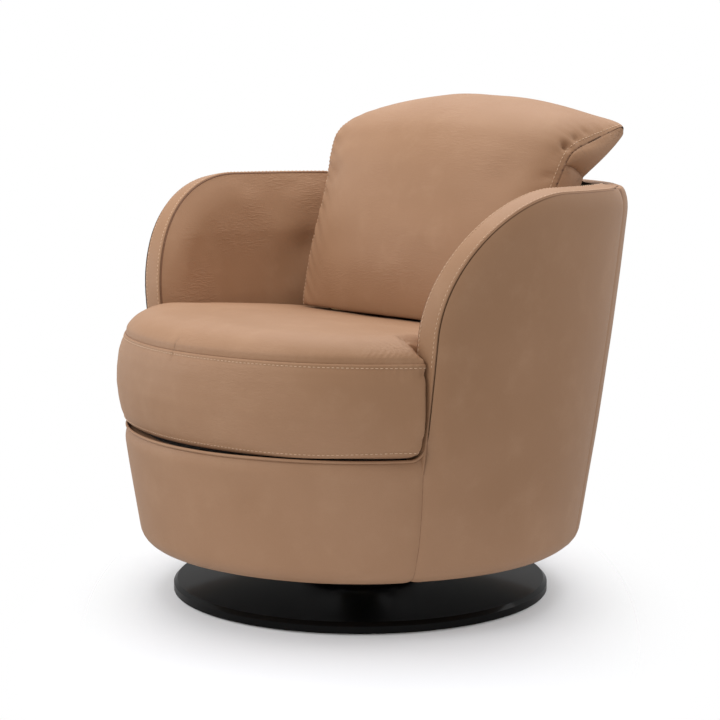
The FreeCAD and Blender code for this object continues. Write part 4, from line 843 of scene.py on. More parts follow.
def coons(bottom, top, left, right, u, v):
    """Fill four edge lines with a smooth grid; u and v are the shares along and up it."""
    u = u[None, :, None]
    v = v[:, None, None]
    across = (1 - v) * bottom[None] + v * top[None]
    up = (1 - u) * left[:, None] + u * right[:, None]
    corners = ((1 - u) * (1 - v) * bottom[0] + u * (1 - v) * bottom[-1]
               + (1 - u) * v * top[0] + u * v * top[-1])
    return across + up - corners


def line_of(angles, levels):
    """A line of pairs, such as an angle and a level, from its two lists."""
    return np.stack([np.asarray(angles, float), np.asarray(levels, float)], axis=1)


MIRROR = np.array((-1.0, 1.0))
RIM_FOLD = 0.0120
FOLD_TURN = 0.22
FOLD_DROP = 0.045


def rim_shift(angle, level):
    """How far the wall leans in under the rim as it nears the back seam."""
    share = smooth_step((np.abs(angle) - (BACK_SEAM - FOLD_TURN)) / FOLD_TURN)
    rise = np.clip((level - (RIM - FOLD_DROP)) / FOLD_DROP, 0, 1)
    return RIM_FOLD * share * (1 - np.sqrt(1 - 0.999 * rise ** 2))


# %% The side panel's four edges
SPLIT = math.radians(45)
SIDE_INSET = 0.0015
arm_angles, arm_levels = arm_line(SIDE_INSET)
split_level = ARCH_Z + (ARCH_RADIUS - SIDE_INSET) * math.sin(SPLIT)
split_place = int(np.argmin(np.abs(arm_levels - split_level) + (arm_angles > 1.6)))

corner_angles, corner_levels = corner_line(SIDE_INSET)
meet = int(np.argmin(np.abs(corner_angles - seam_angle(0.295))))
seam_levels = np.linspace(LOWEST, corner_levels[meet], 120)[:-1]
seam_angles = seam_angle(seam_levels)
arm_part = line_of(arm_angles[:split_place + 1], arm_levels[:split_place + 1])
arm_part = arm_part[arm_part[:, 1] > corner_levels[-1] + 0.001]
front_edge = np.concatenate([
    line_of(seam_angles, seam_levels),
    line_of(corner_angles[meet:], corner_levels[meet:]),
    arm_part,
])
top_edge = line_of(arm_angles[split_place:], arm_levels[split_place:])
back_levels = np.linspace(LOWEST, arm_levels[-1], 200)
back_edge = line_of(np.full(200, BACK_SEAM), back_levels)
bottom_edge = line_of(np.linspace(front_edge[0, 0], BACK_SEAM, 200), np.full(200, LOWEST))

side_form = panel_between(bottom_edge, top_edge, front_edge, back_edge)
side_base = on_wall(side_form[..., 0], side_form[..., 1])


# %% Distances to the side panel's seams
def dense(line, count):
    """Closely spaced points on the wall's form along a line of angles and levels."""
    return on_wall(*resampled(line, np.linspace(0, 1, count)).T)


welt_line = np.concatenate([front_edge[len(seam_levels):], top_edge[1:]])
welt_points = dense(welt_line, 900)
plain_front = dense(front_edge[:len(seam_levels)], 300)
plain_back = dense(back_edge, 500)

welt_gap, welt_run = reach_to(side_base, welt_points)
front_gap, front_run = reach_to(side_base, plain_front)
back_gap, back_run = reach_to(side_base, plain_back)
print("side panel reaches", round(float(welt_gap.max()), 3), "m from its piping")

# %% The side panels' hide
side_seam = np.minimum(np.minimum(welt_gap, front_gap), back_gap)
swell = swells(side_base, (5.0, 11.0, 0.0011), (14.0, 3.0, 0.0004))
low_share = smooth_step((side_form[..., 1] - 0.14) / 0.16)
fullness = PANEL_FULLNESS * smooth_step(back_gap / 0.16) * smooth_step(front_gap / 0.05) * low_share
from_plain = smooth_step(np.minimum(front_gap, back_gap) / 0.04)
side_out = (fullness
            + WELT_BULGE * bell(welt_gap, 0.09) * from_plain
            - (WELT_RECESS + WELT_BULGE) * (1 - ease(welt_gap / WELT_REACH, 2.2))
            - PLAIN_RECESS * (1 - ease(front_gap / PLAIN_REACH))
            - PLAIN_RECESS * (1 - ease(back_gap / PLAIN_REACH))
            + swell * smooth_step(side_seam / 0.04)
            - rim_shift(side_form[..., 0], side_form[..., 1]))
side_grid = on_wall(side_form[..., 0], side_form[..., 1], side_out)
side_along = np.where(front_gap <= side_seam + 1e-6, front_run, back_run)
side_along = np.where(welt_gap <= side_seam + 1e-6, welt_run, side_along)


def mirrored_grid(grid):
    """The same grid on the other side of the chair."""
    return grid * np.array((-1.0, 1.0, 1.0))


def both_sides(grid, flip=False):
    """Each side's name, its grid, and whether its faces need turning to look outward."""
    return ("left", grid, flip), ("right", mirrored_grid(grid), not flip)


for side, grid, flip in both_sides(side_grid):
    panel = Cut().add(grid, side_seam, side_along, flip=flip).sewn("outer_panel_" + side, wall_leather)
    placed(panel, "tub", "tan_leather", "outer_side_cover_" + side)

# %% [markdown]
# ## Back panel
# Behind, one wide panel closes the tub between the two side seams. It isn't piped at the top:
# the hide rolls softly inward over the rim and is tucked down behind the cushion. The wall's
# outline gets a rounded top for it, and the roll fades towards the seams.

# %% Back panel, rolled softly over the rim
ROLL_HEIGHT = 0.045
ROLL_DEPTH = 0.025
ROLL_LEAN = 0.0045
ROLL_STEPS = (0.0014, 0.0014, 0.0012, 0.003)
RIM_FLAT = 0.011
RIM_EDGE = 0.009
TUCK_LEAN = 0.0012
TUCK_DEPTH = 0.021
BACK_REACH = 0.43
ROLL_ROWS = 0.085
SEAM_TUCK = 0.0030


def back_outline():
    """The wall's outline, with its top rolled inward over the rim and tucked down behind it."""
    keep = wall.levels < RIM - ROLL_HEIGHT
    roll = np.linspace(0, math.pi / 2, 34)
    edge = np.linspace(0, math.pi / 2, 14)[1:]
    share = np.linspace(0, 1, 8)[1:]
    side_r = float(wall_radius(RIM - ROLL_HEIGHT))
    top_r = side_r + ROLL_LEAN - ROLL_DEPTH
    edge_r = top_r - RIM_FLAT
    radii = np.concatenate([
        wall.radii[keep],
        side_r + ROLL_LEAN * np.sin(roll) - ROLL_DEPTH * (1 - np.cos(roll)),
        top_r - RIM_FLAT * share,
        edge_r - RIM_EDGE * np.sin(edge),
        edge_r - RIM_EDGE - TUCK_LEAN * share,
    ])
    heights = np.concatenate([
        wall.heights[keep],
        RIM - ROLL_HEIGHT + ROLL_HEIGHT * np.sin(roll),
        np.full(len(share), RIM),
        RIM - RIM_EDGE * (1 - np.cos(edge)),
        RIM - RIM_EDGE - TUCK_DEPTH * share,
    ])
    steps = np.repeat(ROLL_STEPS, (len(roll), len(share), len(edge), len(share)))
    levels = np.concatenate([wall.levels[keep], wall.levels[keep][-1] + np.cumsum(steps)])
    return Outline(levels, radii, heights)


# %% Rows, columns and hide of the back panel
back_wall = back_outline()
back_span = 2 * (math.pi - BACK_SEAM)
back_u = knots(back_span * BACK_REACH, 0.0016, 0.0085)
back_u = np.concatenate([[-0.012], back_u, [1.012]])
outline_run = lengths_of(np.stack([back_wall.radii, back_wall.heights], axis=1))
roll_start = outline_run[-1] - ROLL_ROWS
back_rows = np.concatenate([
    np.linspace(0, roll_start, 76)[:-1],
    np.linspace(roll_start, outline_run[-1], 46),
])
back_rows = np.interp(back_rows, outline_run, back_wall.levels)
grid_angle, grid_level = np.meshgrid(BACK_SEAM + back_u * back_span, back_rows)
back_base = back_wall.at(grid_angle, grid_level)
from_seams = np.minimum(grid_angle - BACK_SEAM, 2 * math.pi - BACK_SEAM - grid_angle)
tucked = from_seams < 0
from_seams = np.maximum(from_seams, 0)
seam_gap = from_seams * np.hypot(back_base[..., 0], back_base[..., 1])
swell = swells(back_base, (4.2, 21.0, 0.0015), (13.0, 5.0, 0.0004))
back_out = -PLAIN_RECESS * (1 - ease(seam_gap / PLAIN_REACH)) + swell * smooth_step(seam_gap / 0.05)
back_out = back_out - SEAM_TUCK * tucked
back_grid = back_wall.at(grid_angle, grid_level, back_out)
seam_share = RIM_FOLD / ROLL_DEPTH
roll_share = seam_share + (1 - seam_share) * smooth_step(from_seams / 0.26)
rise = np.clip((back_base[..., 2] - (RIM - ROLL_HEIGHT)) / ROLL_HEIGHT, 0, 1)
from_axis = np.hypot(back_base[..., 0], back_base[..., 1])
inner_side = smooth_step((float(wall_radius(RIM)) - 0.020 - from_axis) / 0.012)
push = ROLL_DEPTH * (1 - np.sqrt(1 - 0.999 * rise ** 2)) * (1 - roll_share) * (1 - inner_side)
outward = back_base * np.array((1.0, 1.0, 0.0)) / from_axis[..., None]
back_grid = back_grid + outward * push[..., None]
back_panel = Cut().add(back_grid, seam_gap, back_base[..., 2]).sewn("outer_panel_back", wall_leather)
placed(back_panel, "tub", "tan_leather", "outer_back_cover")

# %% [markdown]
# ## The border band
# The band covers the thickness of the arms. It is cut in one length from the seat, over the
# arch and along the rim to the back seam. It is stitched a few millimetres from both edges.

# %% The band's surface
BAND_CROWN = 0.0014
BAND_DROP = 0.0020
BAND_TILT = 0.15
BAND_SPAN = 0.039
OUTER_INSET = 0.0003
BOTH_INSETS = 0.0019


class Band:
    """The band as a strip: a share along its length and a distance in from its outer edge."""

    def __init__(self):
        angles, levels = arm_line(low=APRON_TOP - 0.02)
        self.outer = on_wall(angles, levels)
        self.run = lengths_of(self.outer)
        self.length = self.run[-1]
        self.angles = angles
        self.levels = levels
        turn = np.arctan2(levels - ARCH_Z, ARCH_Y - self.outer[:, 1])
        turn = np.where(self.outer[:, 1] >= ARCH_Y, math.pi / 2, turn)
        turn = np.where(levels <= ARCH_Z, 0.0, turn)
        self.turn = turn
        self.face = np.stack([0 * turn, -np.cos(turn), np.sin(turn)], axis=1)
        inward = np.zeros_like(self.outer)
        inward[:, 0] = -1.0
        radial = -self.outer * np.array((1.0, 1.0, 0.0))
        radial /= np.linalg.norm(radial, axis=1, keepdims=True)
        share = smooth_step((self.outer[:, 1] - ARCH_Y + 0.06) / 0.10)[:, None]
        inward = inward * (1 - share) + radial * share
        self.inward = inward / np.linalg.norm(inward, axis=1, keepdims=True)
        self.width = self.widths(*self.outer[:, :2].T, *self.inward[:, :2].T)

    def widths(self, x, y, dx, dy):
        """How far each outer point is from the wall's inner face, going inward."""
        reach = np.hypot(x, y) - BAND_WIDTH
        toward = x * dx + y * dy
        beyond = x * x + y * y - reach * reach
        return -toward - np.sqrt(np.maximum(toward * toward - beyond, 0.0))

    def at(self, along, across, out=0.0):
        """Points at lengths along the band and shares of its width, from its outer edge."""
        place = read_off(along, self.run, self.outer)
        face = read_off(along, self.run, self.face)
        face /= np.linalg.norm(face, axis=-1, keepdims=True)
        inward = read_off(along, self.run, self.inward)
        inward /= np.linalg.norm(inward, axis=-1, keepdims=True)
        width = np.interp(along, self.run, self.width)
        turn = np.interp(along, self.run, self.turn)
        depth = width * across
        lift = np.zeros_like(place)
        lift[..., 2] = BAND_TILT * np.sin(turn) ** 2 * depth
        angle = np.interp(along, self.run, self.angles)
        fold = rim_shift(angle, np.interp(along, self.run, self.levels)) * (1 - across)
        to_end = np.clip(1 - (self.length - along) / 0.020, 0, 1)
        lift[..., 2] -= 0.0080 * to_end ** 2 + 0.25 * fold
        place = place + inward * (depth + fold)[..., None] + face * np.asarray(out)[..., None] + lift
        return place, face


# %% The band's hide
band = Band()
print("the band is", round(float(band.length), 3), "m long on each side")
band_u = np.linspace(0.0, band.length - 0.0012, int(band.length / 0.0045))
edge_rows = np.array((0.0, 0.0006, 0.0014, 0.0024, 0.0036, 0.005, 0.0066, 0.009, 0.012, 0.016, 0.0195))
band_v = np.concatenate([edge_rows, (BAND_SPAN - edge_rows[:-1])[::-1]]) / BAND_SPAN
grid_run, grid_across = np.meshgrid(band_u, band_v)
from_edge = np.minimum(grid_across, 1 - grid_across) * BAND_SPAN
edge_fall = BAND_DROP * (1 - ease(from_edge / 0.0022, 2.4))
band_mid, _ = band.at(grid_run, grid_across)
ripple = drift(band_mid, 22.0, 8.0) * 0.00035 * smooth_step(from_edge / 0.008)
crown = BAND_CROWN * (1 - (2 * grid_across - 1) ** 2)
inset_across = OUTER_INSET / BAND_WIDTH + grid_across * (1 - BOTH_INSETS / BAND_WIDTH)
band_grid, _ = band.at(grid_run, inset_across, crown - edge_fall + ripple)
for side, grid, flip in both_sides(band_grid):
    strip = Cut().add(grid, from_edge, grid_run, flip=flip).sewn("arm_band_" + side, wall_leather)
    placed(strip, "tub", "tan_leather", "arm_border_" + side)

# %% Stitch rows on the band
STITCH_INSET = 0.0056
row_run = np.linspace(0.025, band.length - 0.004, 800)
for row, distance, first in (("outer", STITCH_INSET, 150), ("inner", BAND_WIDTH - STITCH_INSET, 0)):
    across = np.full(len(row_run), distance / BAND_WIDTH)
    row_points, row_face = band.at(row_run, across, np.full(len(row_run), 0.0003))
    for side, turn in (("left", 1.0), ("right", -1.0)):
        turned_way = np.array((turn, 1.0, 1.0))
        thread_row = stitches("band_stitches_" + row + "_" + side,
                              row_points[first:] * turned_way, row_face[first:] * turned_way)
        placed(thread_row, "tub", "tan_leather")

# %% [markdown]
# ## Piping
# A thin cord lies sunk between the band and the outer panel. It runs from the back seam along
# the rim, over the arch and down, turns through the small round at the corner and becomes the
# lip over the apron, then goes up the other arm. Up on the arms it is painted darker, as shade
# in its groove. Thinner cords close the band's inner edge, in a darker hide that is painted shade.

# %% Outer cord and apron lip
CORD_RADIUS = 0.0014
LIP_RADIUS = 0.0024
INNER_RADIUS = 0.0012
LIP_REACH = 0.398
CORD_SUNK = 0.0031
LIP_SUNK = 0.0020
CORD_SCALE = np.array((0.4, 1.0))

# %% The path of the outer cord
cord_angles, cord_levels = arm_line(low=APRON_TOP + CORNER_ROUND)
turn = np.linspace(-math.pi / 2, 0, 40)[:-1]
round_ahead = CORNER_ROUND * (1 - np.cos(turn))
round_angles = front_angle(APRON_TOP + CORNER_ROUND) - round_ahead / LIP_REACH
round_levels = APRON_TOP + CORNER_ROUND * (1 + np.sin(turn))
lip_half = round_angles[0]
lip_angles = np.linspace(-lip_half, lip_half, 240)[1:-1]
lip_part = line_of(lip_angles, np.full(len(lip_angles), APRON_TOP))
right_half = np.concatenate([line_of(round_angles, round_levels), line_of(cord_angles, cord_levels)])
whole = np.concatenate([right_half[::-1] * MIRROR, lip_part, right_half])
whole = resampled(whole * CORD_SCALE, np.linspace(0, 1, 1700)) / CORD_SCALE
whole_angle, whole_level = whole.T

# %% How thick and how deep the outer cord lies
past_lip = smooth_step((np.abs(whole_angle) - lip_half + 0.02) / 0.05)
lip_share = 1 - past_lip * smooth_step((whole_level - 0.288) / 0.02)
pale_share = 1 - smooth_step((whole_level - 0.385) / 0.05)
cord_radius = CORD_RADIUS + (LIP_RADIUS - CORD_RADIUS) * lip_share
cord_radius = cord_radius + 0.0005 * pale_share * (1 - lip_share)
cord_out = -CORD_SUNK - 0.0003 * pale_share - LIP_SUNK * lip_share
cord_out = cord_out - rim_shift(whole_angle, whole_level)
# Up on the arms the cord's seam mark is under a millimetre, so the leather paints it darker: painted
# shade in the groove between band and side panel. Low down and on the lip the mark is large and the
# cord stays pale.
cord_shadow_mark = 0.0006 + 0.02 * pale_share
lip_wave = drift(on_wall(whole_angle, whole_level), 9.0, 17.0) * 0.0006 * lip_share
whole_points = on_wall(whole_angle, whole_level + lip_wave, cord_out)
outer_cord = cord_piece("outer_piping", whole_points, cord_radius, wall_leather, 10, cord_shadow_mark)
placed(outer_cord, "tub", "tan_leather", "arm_piping_left", "arm_piping_right", "apron_piping")

# %% Inner cords
# The inner cords wear the darker hide, which paints the shade of the groove they lie in.
inner_run = np.linspace(0.0, band.length - 0.002, 700)
inner_points, _ = band.at(inner_run, np.full(700, 0.985), np.full(700, -0.0032))
for side, inner_path, _ in both_sides(inner_points):
    cord = cord_piece("inner_piping_" + side, inner_path, INNER_RADIUS, shaded_piping_leather)
    placed(cord, "tub", "tan_leather")

# %% [markdown]
# ## Front apron
# The apron is one strip of hide around the front, from one arm to the other. A soft lip is
# sewn along its top, just under the seat cushion, and it turns under at the bottom.

# %% Apron panel
LIP_RECESS = 0.0076
LIP_DIP = 0.0015
top_half_angles = np.concatenate([np.linspace(0, lip_half, 60)[:-1], round_angles])
top_half_levels = np.concatenate([np.full(59, APRON_TOP), round_levels])
stop = int(np.argmin(np.abs(top_half_angles - float(front_edge[len(seam_levels), 0]))))
top_half = line_of(top_half_angles[:stop + 1], top_half_levels[:stop + 1] - LIP_DIP)
top_line = np.concatenate([top_half[::-1] * MIRROR, top_half[1:]])
side_line = line_of(seam_angles, seam_levels)
side_line[-1] = top_half[-1]
bottom_line = line_of(np.linspace(-side_line[0, 0], side_line[0, 0], 200), np.full(200, LOWEST))
apron_form = panel_between(bottom_line, top_line, side_line * MIRROR, side_line)
apron_base = on_wall(apron_form[..., 0], apron_form[..., 1])
lip_gap, lip_run = reach_to(apron_base, dense(top_line, 700))
one_side = apron_base.copy()
one_side[..., 0] = np.abs(one_side[..., 0])
end_gap, end_run = reach_to(one_side, dense(side_line, 300))
swell = swells(apron_base, (5.0, 31.0, 0.0012), (14.0, 7.0, 0.0004))
apron_out = (-LIP_RECESS * (1 - ease(lip_gap / 0.025, 2.3))
             - PLAIN_RECESS * (1 - ease(end_gap / PLAIN_REACH))
             + swell * smooth_step(np.minimum(lip_gap, end_gap) / 0.03))
apron_grid = on_wall(apron_form[..., 0], apron_form[..., 1], apron_out)
apron_seam = np.minimum(lip_gap, end_gap)
apron_along = np.where(lip_gap < end_gap, lip_run, end_run)
apron = Cut().add(apron_grid, apron_seam, apron_along).sewn("front_apron_panel", wall_leather)
placed(apron, "tub", "tan_leather", "front_apron")

# %% [markdown]
# ## The hide under the lip
# Behind the lip the apron's hide turns in over the front rail and is lost in the dark gap
# below the seat cushion. Only its first centimetre shows, so a shallow shelf is enough.

# %% Hide that turns in behind the lip
shelf_angles = np.linspace(-lip_half - 0.02, lip_half + 0.02, 260)
shelf_in = np.array((0.0062, 0.0072, 0.0090, 0.0120, 0.0170, 0.0260, 0.0400, 0.0520))
shelf_down = np.array((0.0010, 0.0022, 0.0034, 0.0042, 0.0046, 0.0048, 0.0050, 0.0052))
grid_angle, grid_in = np.meshgrid(shelf_angles, shelf_in)
grid_down = np.repeat(shelf_down[:, None], len(shelf_angles), axis=1)
shelf_radius = float(wall_radius(APRON_TOP)) - grid_in
shelf_grid = turned(shelf_radius, grid_angle, APRON_TOP - grid_down)
shelf_grid[..., 2] += drift(shelf_grid, 16.0, 19.0) * 0.0010 * smooth_step(grid_in / 0.012)
shelf_along = shelf_angles[None] * 0.39 + 0 * grid_in
shelf = Cut().add(shelf_grid, grid_in, shelf_along).sewn("apron_turn_in", wall_leather)
placed(shelf, "tub", "tan_leather")

# %% [markdown]
# ## Inner faces of the arms
# Inside, each arm is padded: the hide swells away from the band's inner edge and comes back to
# the tub's wall behind the cushions. Soft dimples show where it is pulled in.

# %% Padded inner faces
PAD_LOW = 0.296
PAD_LEVELS = (0.28, 0.36, 0.47, 0.58, 0.66, 0.70)
PAD_DEPTHS = (0.056, 0.064, 0.068, 0.064, 0.052, 0.046)


def back_plane(level):
    """How far back the reclined back board's front lies at a level."""
    return 0.238 + (level - 0.660) * math.tan(math.radians(14.0))


def depth_of_pad(level):
    """How far the padded face stands in from the wall's form at a level."""
    return np.interp(level, PAD_LEVELS, PAD_DEPTHS)


def inner_point(angle, level, depth):
    """Points at a depth inside the wall's form."""
    return turned(wall_radius(level) - depth, angle, level)


# %% The pad's four edges
inner_edge, _ = band.at(np.linspace(0.022, band.length, 900), np.full(900, 1.0), np.full(900, -0.0024))
edge_angle = np.arctan2(inner_edge[:, 0], -inner_edge[:, 1])
edge_level = inner_edge[:, 2]
edge_angle = np.concatenate([edge_angle, np.linspace(edge_angle[-1], math.radians(128), 12)[1:]])
edge_level = np.concatenate([edge_level, np.full(11, edge_level[-1])])
split = int(np.argmax(edge_level > ARCH_Z + ARCH_RADIUS * 0.72))
pad_front = line_of(edge_angle[:split + 1], edge_level[:split + 1])
pad_top = line_of(edge_angle[split:], edge_level[split:])
pad_levels = np.linspace(PAD_LOW, pad_top[-1, 1], 120)
pad_behind = back_plane(pad_levels) + 0.003
pad_tuck = 0.008 * (1 - smooth_step((pad_levels - 0.5) / 0.18))
pad_radius = wall_radius(pad_levels) - BAND_WIDTH - pad_tuck
pad_back = line_of(math.pi - np.arccos(np.clip(pad_behind / pad_radius, -1, 1)), pad_levels)
pad_back[-1] = pad_top[-1]
pad_bottom = np.linspace(pad_front[0], pad_back[0], 120)
pad_form = panel_between(pad_bottom, pad_top, pad_front, pad_back, 0.006, 0.0014)
pad_base = inner_point(pad_form[..., 0], pad_form[..., 1], BAND_WIDTH)
pad_edge = resampled(np.concatenate([pad_front, pad_top[1:]]), np.linspace(0, 1, 1200))
pad_gap, pad_run = reach_to(pad_base, inner_point(*pad_edge.T, BAND_WIDTH))
full = depth_of_pad(pad_form[..., 1])
pad_depth = BAND_WIDTH + (full - BAND_WIDTH) * ease(pad_gap / 0.055, 2.2)


# %% Dimples and hide of the pads
def dimples(points, places):
    """Soft hollows at places, each with its width and depth."""
    sunk = np.zeros(points.shape[:-1])
    for place, width, depth in places:
        away = np.linalg.norm(points - np.array(place), axis=-1)
        sunk += depth * bell(away, width)
    return sunk


PAD_DIMPLES = (((0.396, 0.059, 0.664), 0.024, 0.0020), ((0.387, 0.101, 0.638), 0.032, 0.0030),
               ((0.375, 0.141, 0.660), 0.022, 0.0020), ((0.360, 0.172, 0.552), 0.030, 0.0100),
               ((0.378, 0.133, 0.523), 0.040, 0.0030), ((0.385, 0.110, 0.590), 0.045, -0.0020))
swell = swells(pad_base, (6.0, 41.0, 0.0030), (15.0, 43.0, 0.0012))
swell = swell - dimples(pad_base, PAD_DIMPLES)
pad_depth = pad_depth + swell * smooth_step(pad_gap / 0.025)
pad_grid = inner_point(pad_form[..., 0], pad_form[..., 1], pad_depth)
for side, grid, flip in both_sides(pad_grid, True):
    pad = Cut().add(grid, pad_gap, pad_run, flip=flip).sewn("inner_arm_" + side, arm_leather)
    placed(pad, "tub", "tan_leather", "inner_arm_pad_" + side)

# %% [markdown]
# ## Rim lining
# Inside the back of the rim a strip of hide covers the frame, where the cushion leaves it
# open. It is a narrow padded strip that follows the wall's inner radius.

# %% Lining inside the back of the rim
LINING_LOW = 0.6535
LINING_HEIGHT = 0.0185
lining_angles = np.linspace(math.radians(104), math.radians(256), 120)
lining_levels = np.array((LINING_LOW, 0.658, 0.663, 0.668, 0.672))
grid_angle, grid_level = np.meshgrid(lining_angles, lining_levels)
lining_rise = (grid_level - LINING_LOW) / LINING_HEIGHT
lining_depth = BAND_WIDTH + 0.0012 + 0.0008 * np.sin(lining_rise * math.pi)
lining_grid = inner_point(grid_angle, grid_level, lining_depth)
lining = Cut().add(lining_grid, flip=True).sewn("rim_lining", wall_leather)
placed(lining, "tub", "tan_leather", "inner_back_pad")

# %% [markdown]
# ## Seat cushion
# The cushion is T-shaped: it fills the tub, and its two ears reach out in front of the
# arms. A top panel and a bottom panel are joined by a boxing strip that bulges outward. The
# same outline is traced at every level, so one ring of columns runs through all three parts.

# %% The cushion's measures
EAR_BACK = 0.1775
TOP_ROW = 0.0064
LOW_ROW = 0.0108
LOW_ROW_RISE = 0.0056
SEAT_REAR = 0.128
SEAT_LOW = 0.2895
CORNER_LIFT = 0.0070
SEAT_SEAM = 0.434
SEAT_CENTRE = np.array((0.0, -0.21))
BOX_LENGTH = 0.155
GATHER_PITCH = 0.0105
PINCHES = ((0.418, 0.0042), (0.318, 0.0046))
FRONT_TURNS = (0, 15, 26, 35, 43.5, 51.4, 59, 66)
FRONT_REACHES = (0.375, 0.377, 0.3835, 0.3900, 0.3950, 0.3990, 0.4030, 0.4085)
BOX_LEVELS = (0.2895, 0.2905, 0.293, 0.298, 0.310, 0.330, 0.355, 0.378, 0.405, 0.420, 0.428, 0.434)
BOX_PROUD = (-0.0030, 0.0000, 0.0025, 0.0055, 0.0090, 0.0127,
             0.0150, 0.0140, 0.0105, 0.0065, 0.0030, 0.0)
SIDE_REACH = (0.325, 0.328, 0.331, 0.334, 0.336, 0.338, 0.339, 0.340, 0.341, 0.342, 0.342, 0.342)
SOFT_LEVELS = (0.289, 0.297, 0.312, 0.36, 0.42, 0.434)
SOFTNESS = (0.0240, 0.0170, 0.0105, 0.0075, 0.0065, 0.0060)


# %% The cushion's outline at one level
def seat_outline(proud, side, notch_reach, rear=SEAT_REAR):
    """A closed outline at one level, from the middle of the front round to it again."""
    turn = np.radians(np.linspace(0, 66, 400))
    at_ear = 0.85 * bell(np.degrees(turn) - 65, 15)
    reach = np.interp(np.degrees(turn), FRONT_TURNS, FRONT_REACHES) + proud * (1 - at_ear)
    reach = np.pad(reach, 30, mode="reflect", reflect_type="odd")
    reach = np.convolve(reach, np.ones(61) / 61, "valid")
    front = np.stack([reach * np.sin(turn), -reach * np.cos(turn)], axis=1)
    front = front[front[:, 1] < -EAR_BACK]
    front = np.concatenate([front, [[front[-1, 0] + 0.0006, -EAR_BACK]]])
    graded = np.concatenate([np.linspace(0, 0.62, 60), np.linspace(0.62, 1, 77)[1:]])
    front_part = resampled(front, graded)[:-1]
    ear = front[-1, 0]
    notch_back = EAR_BACK + 0.003
    notch = math.sqrt(notch_reach ** 2 - notch_back ** 2)
    ear_part = np.linspace((ear, -EAR_BACK), (notch, -notch_back), 18)[:-1]
    start = math.acos(notch_back / notch_reach)
    stop = math.pi - math.acos(rear / side)
    turn = np.linspace(start, stop, 65)[:-1]
    side_reach = side + (notch_reach - side) * (1 - ease((turn - start) * side / 0.050, 2.2))
    side_part = np.stack([side_reach * np.sin(turn), -side_reach * np.cos(turn)], axis=1)
    end = math.sqrt(side ** 2 - rear ** 2)
    rear_part = line_of(np.linspace(end, 0, 51)[:-1], np.full(50, rear))
    half = np.concatenate([front_part, ear_part, side_part, rear_part])
    return np.concatenate([half, [[0.0, rear]], half[1:][::-1] * MIRROR])


# %% Corners rounded, level by level
def softened(ring, width):
    """The outline with its corners rounded."""
    closed = np.concatenate([ring, ring[:1]])
    run = lengths_of(closed)
    count = 1400
    even = np.linspace(0, run[-1], count, endpoint=False)
    fine = read_off(even, run, closed)
    waves = np.fft.fftfreq(count, run[-1] / count)
    blur = np.exp(-2 * (math.pi * waves * width) ** 2)
    smooth = np.stack([np.real(np.fft.ifft(np.fft.fft(line) * blur)) for line in fine.T], axis=1)
    smooth = np.concatenate([smooth, smooth[:1]])
    return read_off(run[:-1], np.append(even, run[-1]), smooth)


def ring_at(level):
    """The cushion's outline at a level between the bottom and the top seam."""
    proud = np.interp(level, BOX_LEVELS, BOX_PROUD)
    side = np.interp(level, BOX_LEVELS, SIDE_REACH)
    softness = np.interp(level, SOFT_LEVELS, SOFTNESS)
    notch_reach = float(wall_radius(level)) - BAND_WIDTH - 0.004
    return softened(seat_outline(proud, side, notch_reach), softness)


def lifted(ring, level):
    """A flat ring's points at a height."""
    return np.concatenate([ring, np.full((len(ring), 1), level)], axis=1)


# %% How near a column is to the ears
def near(angle, middle, width):
    """1 at an angle round the cushion and 0 away from it."""
    away = (angle - middle + math.pi) % (2 * math.pi) - math.pi
    return bell(away, width)


def near_ears(angle, degrees, width):
    """1 at the same angle to the left and to the right of the front, and 0 away from them."""
    return near(angle, math.radians(degrees), width) + near(angle, math.radians(-degrees), width)


# %% Rings of the boxing strip
box_shares = knots(BOX_LENGTH, 0.0008, 0.0060, 0.022)
box_profile = rounded_line(np.stack([BOX_PROUD, BOX_LEVELS], axis=1), 240, 60)
profile_shares = np.linspace(0, 1, 240)
profile_levels = resampled(box_profile, profile_shares)[:, 1]
box_levels = np.interp(box_shares, profile_shares, profile_levels)
boxing = np.stack([lifted(ring_at(level), level) for level in box_levels])
columns = boxing.shape[1]
ring_angle = np.arctan2(boxing[0, :, 0], -boxing[0, :, 1])
ear_share = near_ears(ring_angle, 62, 0.30)
lift = CORNER_LIFT * ear_share[None] * (1 - smooth_step((boxing[..., 2] - SEAT_LOW) / 0.07))
boxing[..., 2] += lift
top_seam = boxing[-1]
low_seam = boxing[0]
low_row = LOW_ROW - LOW_ROW_RISE * ear_share
print("the boxing has", len(box_levels), "rings of", columns, "points")


def closed_run(ring):
    """How far round a closed ring each of its points is."""
    return lengths_of(np.concatenate([ring, ring[:1]]))[:-1]


def row_distances(grid, row):
    """The distance along each column from one row."""
    steps = np.linalg.norm(np.diff(grid, axis=0), axis=2)
    run = np.concatenate([np.zeros((1, grid.shape[1])), np.cumsum(steps, axis=0)])
    return np.abs(run - run[row])


# %% [markdown]
# ## Boxing strip
# The strip between the top and the bottom panel is sewn to both. Beside each seam the folded
# hide makes a small ridge, the stitches press a groove, and the strip gathers a little. At
# the ears' corners it is pinched in deeply. All of this moves the grid along its own normals.

